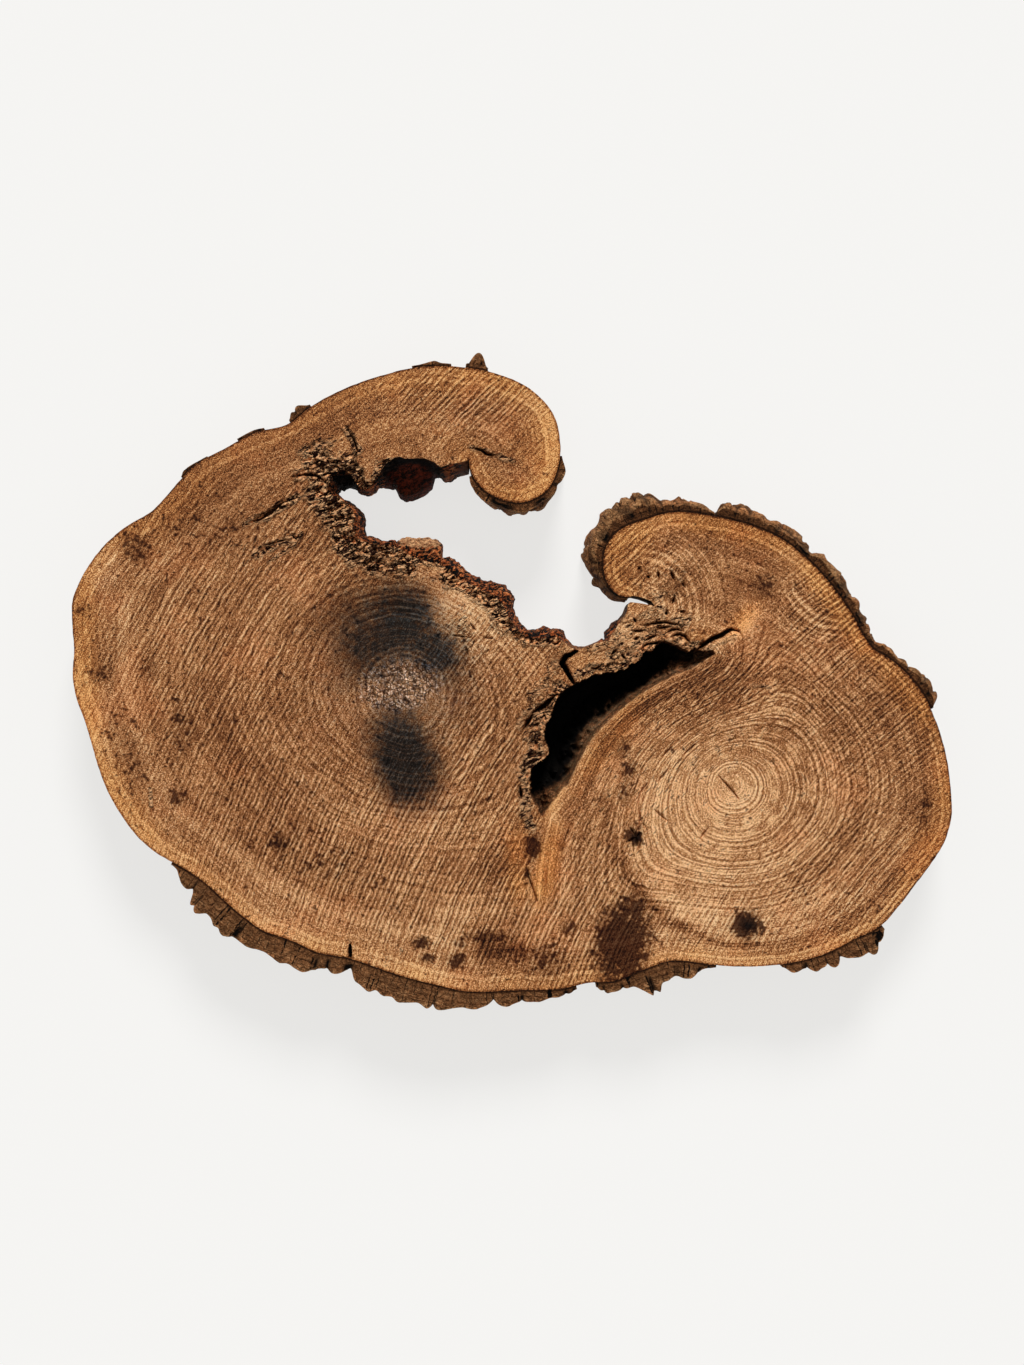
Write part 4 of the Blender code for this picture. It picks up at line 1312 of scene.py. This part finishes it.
# %% The wood's colours
BROWNS = [
    (0.0, paint(24, 10, 4)), (0.2, paint(89, 47, 22)), (0.4, paint(137, 84, 48)), (0.58, paint(174, 115, 70)),
    (0.78, paint(217, 159, 105)), (1.0, paint(254, 211, 160)),
]
ROT_BROWNS = [
    (0.1, paint(94, 32, 10)), (0.28, paint(166, 76, 34)), (0.46, paint(222, 126, 70)),
    (0.62, paint(255, 174, 112)), (0.84, paint(252, 196, 142)),
]
STUB_BROWNS = [(0.3, paint(100, 46, 22)), (0.46, paint(192, 130, 86)), (0.62, paint(250, 192, 136))]
WALL_BROWNS = [(0.2, paint(34, 21, 13)), (0.5, paint(98, 66, 43)), (0.8, paint(164, 118, 82))]
# The near black is for gaps and splits, and for painted shade in deep places.
GAP_AND_SHADE_BLACK, RIFT = paint(8, 5, 3), paint(42, 16, 6)
DEEP_ROT, KNOB_BROWN = paint(140, 86, 52), paint(104, 40, 22)

# %% [markdown]
# The saw leaves two kinds of mark. Scores are the ridges between one sweep of the bar and the next, and
# scratches are the fine hairs beside them. Both run along arcs round the same far point, so they are a wave
# and a noise read off the distance from it. A second, faint set crosses them where the saw was turned.

# %% Saw scores and scratches
SCORE_WIDTH, CROSS_WIDTH = 4.9, 6.8


def saw_marks(r, s):
    """Scores as a sine of the distance from the bar's swing, thinned out along each arc and from arc to arc,
    scratches as noise drawn out along the same arcs, and the second set as a sine of its own distance."""
    swing = r.total((r.read("swing"), 1.0), (s.drift, 6.0), (s.coarse, 1.2))
    cross = r.total((r.read("cross"), 1.0), (s.drift, 6.0), (s.coarse, 1.5))
    sweep = r.read("sweep")
    s.scratches = r.noise(r.vector(r.times(swing, 0.5 * MM), r.times(sweep, 0.045 * MM), 0.0), 0.48, 2, 0.75)
    broken = r.noise(r.vector(r.times(swing, 0.3 * MM), r.times(sweep, 0.1 * MM), 0.0), 3.2, 2)
    wave = r.wave(r.total((swing, 1.0), (r.noise_on(swing, 9, 1), 5.0)), SCORE_WIDTH)
    s.scores = r.total((r.fade(wave, 0.5, 0.95), 1.0), (r.fade(wave, 0.28, 0.02), -0.8))
    share = r.times(r.fade(broken, 0.26, 0.5, 0.15, 1), r.fade(r.noise_on(swing, 11, 1), 0.3, 0.6, 0.4, 1))
    s.share = r.times(share, r.fade(r.read("bite"), -0.4, 0.8, 0.0, 1))
    s.crossed = r.times(r.wave(cross, CROSS_WIDTH), r.fade(r.noise(s.place, 80, 1), 0.5, 0.62))


# %% Rings
RING_WIDTH, SLOW_RING_WIDTH, FAN_WIDTH = 3.1, 26, 4.2


def ring_marks(r, s):
    """Bands as noise along the ring number, and pale arcs where that noise is high, strongest by the pith."""
    ring = r.total((r.read("rings"), 1.0), (s.drift, 7.0), (s.coarse, 2.2))
    s.bands, s.slow_bands = r.noise_on(ring, RING_WIDTH, 2), r.noise_on(ring, SLOW_RING_WIDTH, 1)
    on_right = r.fade(r.read("on_right"), 0.4, 0.6)
    heart = r.times(r.fade(r.read("to_pith"), 70, 210, 1, 0.2), r.fade(on_right, 0, 1, 0.42, 1))
    in_fan = r.fade(r.read("in_fan"), 0.3, 0.8)
    strong = r.times(r.math("ADD", heart, 0.06), r.minus(1.0, in_fan))
    hidden = r.greatest(r.read("black"), r.read("crackle"))
    s.strong = r.times(strong, r.fade(hidden, 0.2, 0.8, 1.0, 0.3))
    arcs = r.fade(r.total((s.bands, 1.0), (s.patchy, 0.5), (s.coarse, 0.7), (-0.6, 1.0)), 0.48, 0.62)
    dark_arcs = r.times(r.fade(s.bands, 0.44, 0.36), r.fade(s.coarse, 0.42, 0.58))
    s.arcs = r.total((arcs, 1.1), (dark_arcs, -0.7))
    fan = r.noise_on(r.total((r.read("fan"), 1.0), (s.coarse, 5.0), (s.drift, 6.0)), FAN_WIDTH, 1)
    fan = r.fade(r.total((fan, 1.0), (s.patchy, 0.5), (-0.25, 1.0)), 0.44, 0.64, -0.45, 1)
    s.fans = r.times(in_fan, fan)


# %% The tone
MIDDLE_TONE = -1.75


def tone_of_wood(r, s):
    """The place's own tone plus a weight times each mark and each noise. MIDDLE_TONE takes away again what
    the noises, which run from 0 to 1, add on the whole."""
    # The scores are paler on their crests and darker in their troughs: partly the cut's own tone, partly
    # painted highlight and shade.
    score_tone_and_shade = r.times(r.minus(s.scores, 0.1), s.share)
    lined = r.times(r.minus(s.arcs, 0.2), s.strong)
    scratched = r.times(r.minus(s.scratches, 0.5), r.fade(r.read("bite"), -0.4, 0.2, 0.3, 1))
    edge_line = r.fade(s.to_rim, 0.4, 3.2, -0.3, 0.0)
    sapwood = r.fade(r.total((s.to_rim, 1.0), (s.coarse, 16.0)), 8, 40, 0.08, 0.0)
    return r.total(
        (r.read("tone"), 1.0), (s.broad, 0.28), (s.coarse, 0.22), (s.fine, 2.35), (s.bands, 0.3),
        (s.slow_bands, 0.34), (scratched, 1.32), (s.patchy, 0.12), (lined, 0.2), (s.fans, 0.2), (score_tone_and_shade, 0.3),
        (s.crossed, 0.06), (edge_line, 1.0), (sapwood, 1.0), (MIDDLE_TONE, 1.0),
    )


# %% [markdown]
# A stain is a factor on each colour, so it tints what is under it. Gold takes blue away and follows the
# sapwood, damp wood is dark brown, and soot is nearly black. The layer of each stain is soft, and a noise
# that is added before the threshold tears its edge.

# %% Stains on the face
GOLD, RED = (1.06, 0.93, 0.68, 1), (0.95, 0.72, 0.6, 1)
DAMP, BLEACH = (0.085, 0.045, 0.03, 1), (1.25, 1.4, 1.6, 1)
SOOT_AND_SHADE = (0.03, 0.06, 0.13, 1)


def stained(r, s, colour):
    """The colour times each stain's own, as far as the stain's layer plus a ragged noise says."""
    ragged = r.total((s.coarse, 2.0), (s.frayed, 2.6), (s.fine, 1.6), (s.scratches, 1.2), (-3.7, 1.0))
    sapwood = r.fade(r.total((s.to_rim, 1.0), (s.coarse, 30.0)), 14, 52, 0.55, 0.0)
    s.gold = r.fade(r.total((sapwood, 1.0), (r.read("amber"), 0.9), (s.patchy, 0.8), (-0.4, 1.0)), 0.0, 1.0)
    red = r.times(r.fade(r.total((s.broad, 0.7), (s.coarse, 0.4)), 0.54, 0.68), 0.5)
    bleach = r.fade(r.total((r.read("pale"), 1.0), (ragged, 0.6)), 0.2, 0.9)
    brown = r.read("brown")
    soaked = r.fade(r.total((brown, 1.0), (ragged, 0.8)), 0.42, 0.64)
    damp = r.greatest(soaked, r.fade(brown, 0.05, 0.55, 0, 0.3))
    stains = (s.gold, GOLD), (red, RED), (r.times(bleach, 0.7), BLEACH), (r.times(damp, 0.96), DAMP)
    for share, stain in stains:
        colour = r.blend(share, colour, stain, "MULTIPLY")
    rubbed = r.times(r.fade(s.scratches, 0.4, 0.75, 1.0, 0.93), r.fade(s.bands, 0.52, 0.62, 1.0, 0.95))
    soot = r.times(r.fade(r.total((r.read("black"), 1.0), (ragged, 0.22)), 0.05, 0.9), rubbed)
    # The hollows under the bay's ceiling get the same near black as the soot: that is painted shade.
    s.soot = r.greatest(soot, r.fade(r.read("hollow"), 0.2, 0.7))
    return colour


# %% [markdown]
# By the left pith the wood has dried into small plates with pale, lifted chips between dark lines. Elsewhere
# it shows short dark checks that all lean one way. The borders of Voronoi cells are such plates, and noise
# drawn out along the lean is such a check.

# %% Plates, chips and checks
CRACKLE, CHIPS = (0.2, 0.17, 0.16, 1), (2.2, 2.8, 3.9, 1)
PLATE_SIZE = 5.0
CHECK_LEAN = np.radians(50)


def dried_out(r, s, colour):
    """Pale chips where noise is high, dark lines near the cells' borders, and dark dashes."""
    plates = r.add("ShaderNodeTexVoronoi", feature="DISTANCE_TO_EDGE")
    r.put(plates.inputs["Vector"], r.warped(s.place, 6, 1.0))
    r.put(plates.inputs["Scale"], 1 / (PLATE_SIZE * MM))
    dried = r.fade(r.total((r.read("crackle"), 1.0), (s.frayed, 1.0)), 0.8, 1.1)
    crackle = r.times(r.fade(plates.outputs["Distance"], 0.12, 0.04), dried)
    chips = r.times(r.fade(r.noise(s.place, 3.4, 3, 0.7), 0.46, 0.58), dried)
    dashes, checked = r.noise(r.turned(s.place, -CHECK_LEAN, (0.16, 1.0, 1.0)), 1.7, 1), r.read("checks")
    checks = r.times(r.fade(r.total((dashes, 1.0), (checked, 0.06)), 0.675, 0.7), r.fade(checked, 0.1, 0.4))
    for share, stain in ((chips, CHIPS), (crackle, CRACKLE), (r.times(checks, 0.85), CRACKLE)):
        colour = r.blend(share, colour, stain, "MULTIPLY")
    return colour


# %% Rot on the face
def rotted(r, s, colour):
    """Crumbled brown over decayed wood, dark fissures and slots in it, and painted shade, black where it has
    sunk deep.
    """
    fibres = r.turned(s.place, -FIBRE_LEAN, (0.55, 1.0, 0.5))
    torn = r.group(fissures, Place=fibres, Amount=r.fade(s.decay, 0.05, 0.95, 0.1, 1.1))
    wavy = r.warped(r.turned(s.place, -FIBRE_LEAN, (0.36, 1.0, 0.5)), 12, 1.8)
    more = r.fade(s.decay, 0.1, 0.9, 0, 0.09)
    slot = r.total((r.noise(wavy, 2.9, 2, 0.6), 1.0), (more, 1.0), (s.patchy, 0.16), (-0.08, 1.0))
    slot = r.times(r.fade(slot, 0.612, 0.64), r.fade(s.decay, 0.08, 0.24))
    s.split, s.torn_height = r.greatest(torn["Split"], slot), torn["Height"]
    s.lumps = r.noise(fibres, 3.4, 4, 0.72)

    rotten = r.fade(r.total((s.decay, 1.0), (s.coarse, 0.8), (-0.4, 1.0)), 0.3, 0.7)
    # Painted light and shade: the crumbled brown is paler where it stands high and darker where it lies low.
    sunk = r.fade(s.gone, 0, 9, 0.12, -0.1)
    tone = r.total((s.lumps, 1.4), (s.fine, 1.3), (s.patchy, 0.7), (-0.97, 1.0), (sunk, 1.0))
    colour = r.blend(r.times(rotten, 0.9), colour, r.ramp(tone, ROT_BROWNS))
    colour = r.blend(r.times(s.split, r.fade(s.decay, 0.1, 0.34)), colour, RIFT)

    # Painted shade: a few millimetres down the rot goes black between its lumps, and the deepest places, the
    # cavity among them, are black.
    depth = r.total((s.gone, 1.0), (s.coarse, 16.0), (s.lumps, 26.0), (-21.0, 1.0))
    deep_rot_in_shade = r.blend(r.fade(r.total((s.lumps, 0.8), (s.fine, 0.4)), 0.56, 0.74), GAP_AND_SHADE_BLACK, DEEP_ROT)
    colour = r.blend(r.times(r.fade(depth, 4.5, 7, 0, 0.9), r.fade(s.gone, 2.5, 6)), colour, deep_rot_in_shade)
    return r.blend(r.times(r.fade(depth, 18, 36), r.fade(s.gone, 6, 12)), colour, GAP_AND_SHADE_BLACK)


# %% The sides
# The rot on the wall is darkened by this factor: painted shade.
WALL_ROT_SHADE, WALL_ROT_SHADE_SHARE = (0.5, 0.42, 0.36, 1), 0.55


def side_of_wood(r, s):
    """Fibres that run through the slab, rot where the wall has decayed with painted shade over it, and the
    stub's end, pale partly as its own wood and partly as a painted highlight.
    """
    s.fibre = r.noise(r.stretched(s.place, (1.0, 1.0, 0.12)), 4.0, 4, 0.65)
    colour = r.ramp(r.total((s.fibre, 1.2), (s.coarse, 0.6), (s.fine, 0.5), (-0.65, 1.0)), WALL_BROWNS)
    rot = r.ramp(r.total((s.fibre, 0.7), (s.lumps, 0.7), (s.fine, 0.5), (-0.52, 1.0)), ROT_BROWNS)
    rot = r.blend(WALL_ROT_SHADE_SHARE, r.blend(s.split, rot, GAP_AND_SHADE_BLACK), WALL_ROT_SHADE, "MULTIPLY")
    colour = r.blend(r.fade(s.decay, 0.2, 0.8), colour, rot)
    stub = r.ramp(r.total((s.lumps, 1.3), (s.fine, 0.6), (-0.45, 1.0)), STUB_BROWNS)
    return r.blend(r.fade(r.total((r.read("stub"), 1.0), (s.frayed, 1.6)), 1.2, 1.5), colour, stub)


# %% Relief too fine for the mesh
def wood_relief(r, s):
    """The height in millimetres: scores, scratches, grain and rings on the face, fibres on the sides, and
    fissures on both as far as they have decayed."""
    flat = r.total(
        (r.times(s.scores, s.share), 0.45), (s.scratches, 0.7), (s.fine, 0.5), (s.bands, 0.3),
        (s.crossed, 0.12), (s.coarse, 0.6),
    )
    rot = r.total((s.torn_height, 1.8), (s.split, -1.2))
    face = r.total((flat, 1.0), (r.times(rot, r.fade(s.decay, 0.1, 0.7)), 1.0))
    side = r.total((s.fibre, 2.4), (s.fine, 0.6), (r.times(rot, s.decay), 1.0))
    return r.total((r.times(face, r.minus(1.0, s.on_wall)), 1.0), (r.times(side, s.on_wall), 1.0))


# %% The wood's finish
WOOD_ROUGHNESS, WOOD_GLOSS = 0.72, 0.09


def sawn_wood():
    """The slab's material: the face's colour, the sides' over it on the wall, then sooty stains and painted
    shade, and the knob.
    """
    made, r, s = new_finish("sawn_walnut")
    s.drift, s.patchy = r.noise(s.place, 38, 2), r.noise(s.place, 22, 3, 0.6)
    s.frayed = r.noise(s.place, 5.5, 3, 0.75)
    s.decay, s.gone, s.to_rim = r.read("decay"), r.read("gone"), r.read("to_rim")
    s.on_wall = r.fade(r.read("wall"), 0.5, 1.0)
    saw_marks(r, s)
    ring_marks(r, s)
    colour = r.ramp(tone_of_wood(r, s), BROWNS)
    for layer in (stained, dried_out, rotted):
        colour = layer(r, s, colour)
    colour = r.blend(s.on_wall, colour, side_of_wood(r, s))
    colour = r.blend(s.soot, colour, SOOT_AND_SHADE, "MULTIPLY")
    knob = r.blend(r.fade(r.total((s.lumps, 1.0), (s.fine, 0.4)), 0.6, 0.84), GAP_AND_SHADE_BLACK, KNOB_BROWN)
    colour = r.blend(r.fade(r.read("knob"), 0.25, 0.6, 0, 0.95), colour, knob)
    roughness = r.total((s.gold, -0.12), (s.fine, 0.15), (WOOD_ROUGHNESS, 1.0))
    return close_finish(made, r, colour, roughness, wood_relief(r, s), WOOD_GLOSS)


# %% The layers that only the finish needs
CHECKS = [
    (136, -84, 46, 60, 0, 1.0), (170, -60, 60, 50, 0, 0.7), (152, 92, 30, 30, 0, 0.8),
    (-40, 36, 44, 34, 0, 0.9), (-10, -70, 30, 60, 0, 0.5), (110, -130, 40, 40, 0, 0.9),
    (220, -60, 70, 30, 0, 0.5), (-230, 150, 60, 30, 30, 0.8),
]
KNOB = (-100, 196, 24, 18, 0, 1.2)
PLATES = [(-112, -4, 38, 24, 8, 1.0), (-60, -20, 30, 20, 0, 0.35)]
SWEEP_RADIUS = 1200

sweep = SWEEP_RADIUS * np.arctan2(plan[:, 1] - SWING_CENTRE[1], SWING_CENTRE[0] - plan[:, 0])
write_on(wood, sweep=sweep, knob=oval_at(plan, [KNOB]))
write_on(wood, checks=oval_at(plan, CHECKS), crackle=oval_at(plan, PLATES))
wood.data.materials.append(sawn_wood())
print("wood nodes:", len(wood.data.materials[0].node_tree.nodes))

# %% [markdown]
# ### The bark
# Bark is corky: grey where it has weathered outside, red-brown and layered where the saw or a break shows
# its inside, and almost black along the thin line where it meets the wood. At the bottom of a furrow and in
# the notches between its lobes it is painted dark: that is painted shade.

# %% The bark outside
CORK = [
    (0.1, paint(68, 40, 22)), (0.34, paint(128, 84, 50)), (0.56, paint(174, 126, 82)),
    (0.88, paint(224, 184, 138)),
]
# Dark cork for the splits, and painted shade in the notches between lobes.
CORK_DARK_AND_SHADE = paint(42, 27, 18)


def outside_of_bark(r, s):
    """Crumbs of cork on a ramp of browns, redder in broad patches, dark in the splits, and darker in the
    furrows and the notches as painted shade.
    """
    # The furrows are painted darker: painted shade.
    tone = r.total(
        (s.crumbs, 0.9), (s.fine, 0.7), (s.coarse, 0.7), (s.broad, 0.3), (-0.78, 1.0), (s.furrow, -0.3)
    )
    colour = r.ramp(tone, CORK)
    reddened = r.times(r.fade(r.total((s.broad, 0.6), (s.coarse, 0.5)), 0.5, 0.62), 0.8)
    colour = r.blend(reddened, colour, RED, "MULTIPLY")
    colour = r.blend(r.times(s.split, 0.8), colour, CORK_DARK_AND_SHADE)
    return r.blend(r.times(s.notch, 0.75), colour, CORK_DARK_AND_SHADE)


# %% The bark inside
INNER_BARK = [
    (0.1, paint(50, 28, 14)), (0.36, paint(104, 64, 36)), (0.6, paint(150, 102, 64)),
    (0.9, paint(200, 152, 106)),
]
LEAF_WIDTH, GAP_SPACING = 2.6, 16


def inside_of_bark(r, s, outside):
    """Leaves that follow the live edge, cut by a few dark gaps across them, weathered towards the outside."""
    layer, across = r.read("layer"), r.read("across")
    s.leaves = r.noise_on(r.total((layer, 1.0), (s.coarse, 5.0)), LEAF_WIDTH, 2)
    near_wood = r.fade(layer, 0.4, 3.0, -0.5, 0)
    tone = r.total(
        (s.leaves, 0.7), (s.fine, 1.0), (s.crumbs, 0.6), (s.coarse, 0.5), (-0.9, 1.0), (near_wood, 1.0),
        (r.read("worn"), -0.35),
    )
    colour = r.blend(r.times(s.split, 0.4), r.ramp(tone, INNER_BARK), CORK_DARK_AND_SHADE)
    gap_noise = r.noise_on(r.total((r.read("place"), 1.0), (s.crumbs, 4.0)), GAP_SPACING, 0)
    gap = r.fade(r.math("ABSOLUTE", r.minus(gap_noise, 0.5)), 0.02, 0.008)
    gap = r.times(gap, r.fade(s.coarse, 0.42, 0.5))
    weathered = r.times(r.fade(r.total((across, 1.0), (s.coarse, 1.6)), 1.6, 1.8), 0.8)
    # Painted shade: the notches between the lobes go black at the cut's outer edge.
    notch = r.times(s.notch, r.fade(r.total((across, 1.0), (s.coarse, 1.0)), 0.6, 1.1))
    return r.blend(r.greatest(gap, notch), r.blend(weathered, colour, outside), GAP_AND_SHADE_BLACK)


# %% The bark's finish
BARK_ROUGHNESS, BARK_GLOSS = 0.78, 0.07


def cork_bark():
    """The bark's material: the outside's colour, and the inside's where the saw or the back cut shows it."""
    made, r, s = new_finish("cork_bark")
    s.furrow, s.notch, cut = r.read("furrow"), r.read("notch"), r.read("cut")
    rough_place = r.stretched(s.place, (1.0, 1.0, 0.5))
    torn = r.group(fissures, Place=rough_place, Amount=r.total((s.furrow, 0.5), (0.42, 1.0)))
    s.split, s.crumbs = torn["Split"], r.noise(rough_place, 4.2, 4, 0.75)
    outside = outside_of_bark(r, s)
    colour = r.blend(r.fade(cut, 0.4, 0.6), outside, inside_of_bark(r, s, outside))
    height = r.total(
        (torn["Height"], 1.2), (s.split, -1.0), (s.fine, 0.8), (s.crumbs, 1.4), (r.times(s.leaves, cut), 0.8)
    )
    roughness = r.total((s.fine, 0.15), (BARK_ROUGHNESS, 1.0))
    return close_finish(made, r, colour, roughness, height, BARK_GLOSS)


bark_finish = cork_bark()
for piece in bark_pieces:
    piece.data.materials.append(bark_finish)
print("bark nodes:", len(bark_finish.node_tree.nodes))
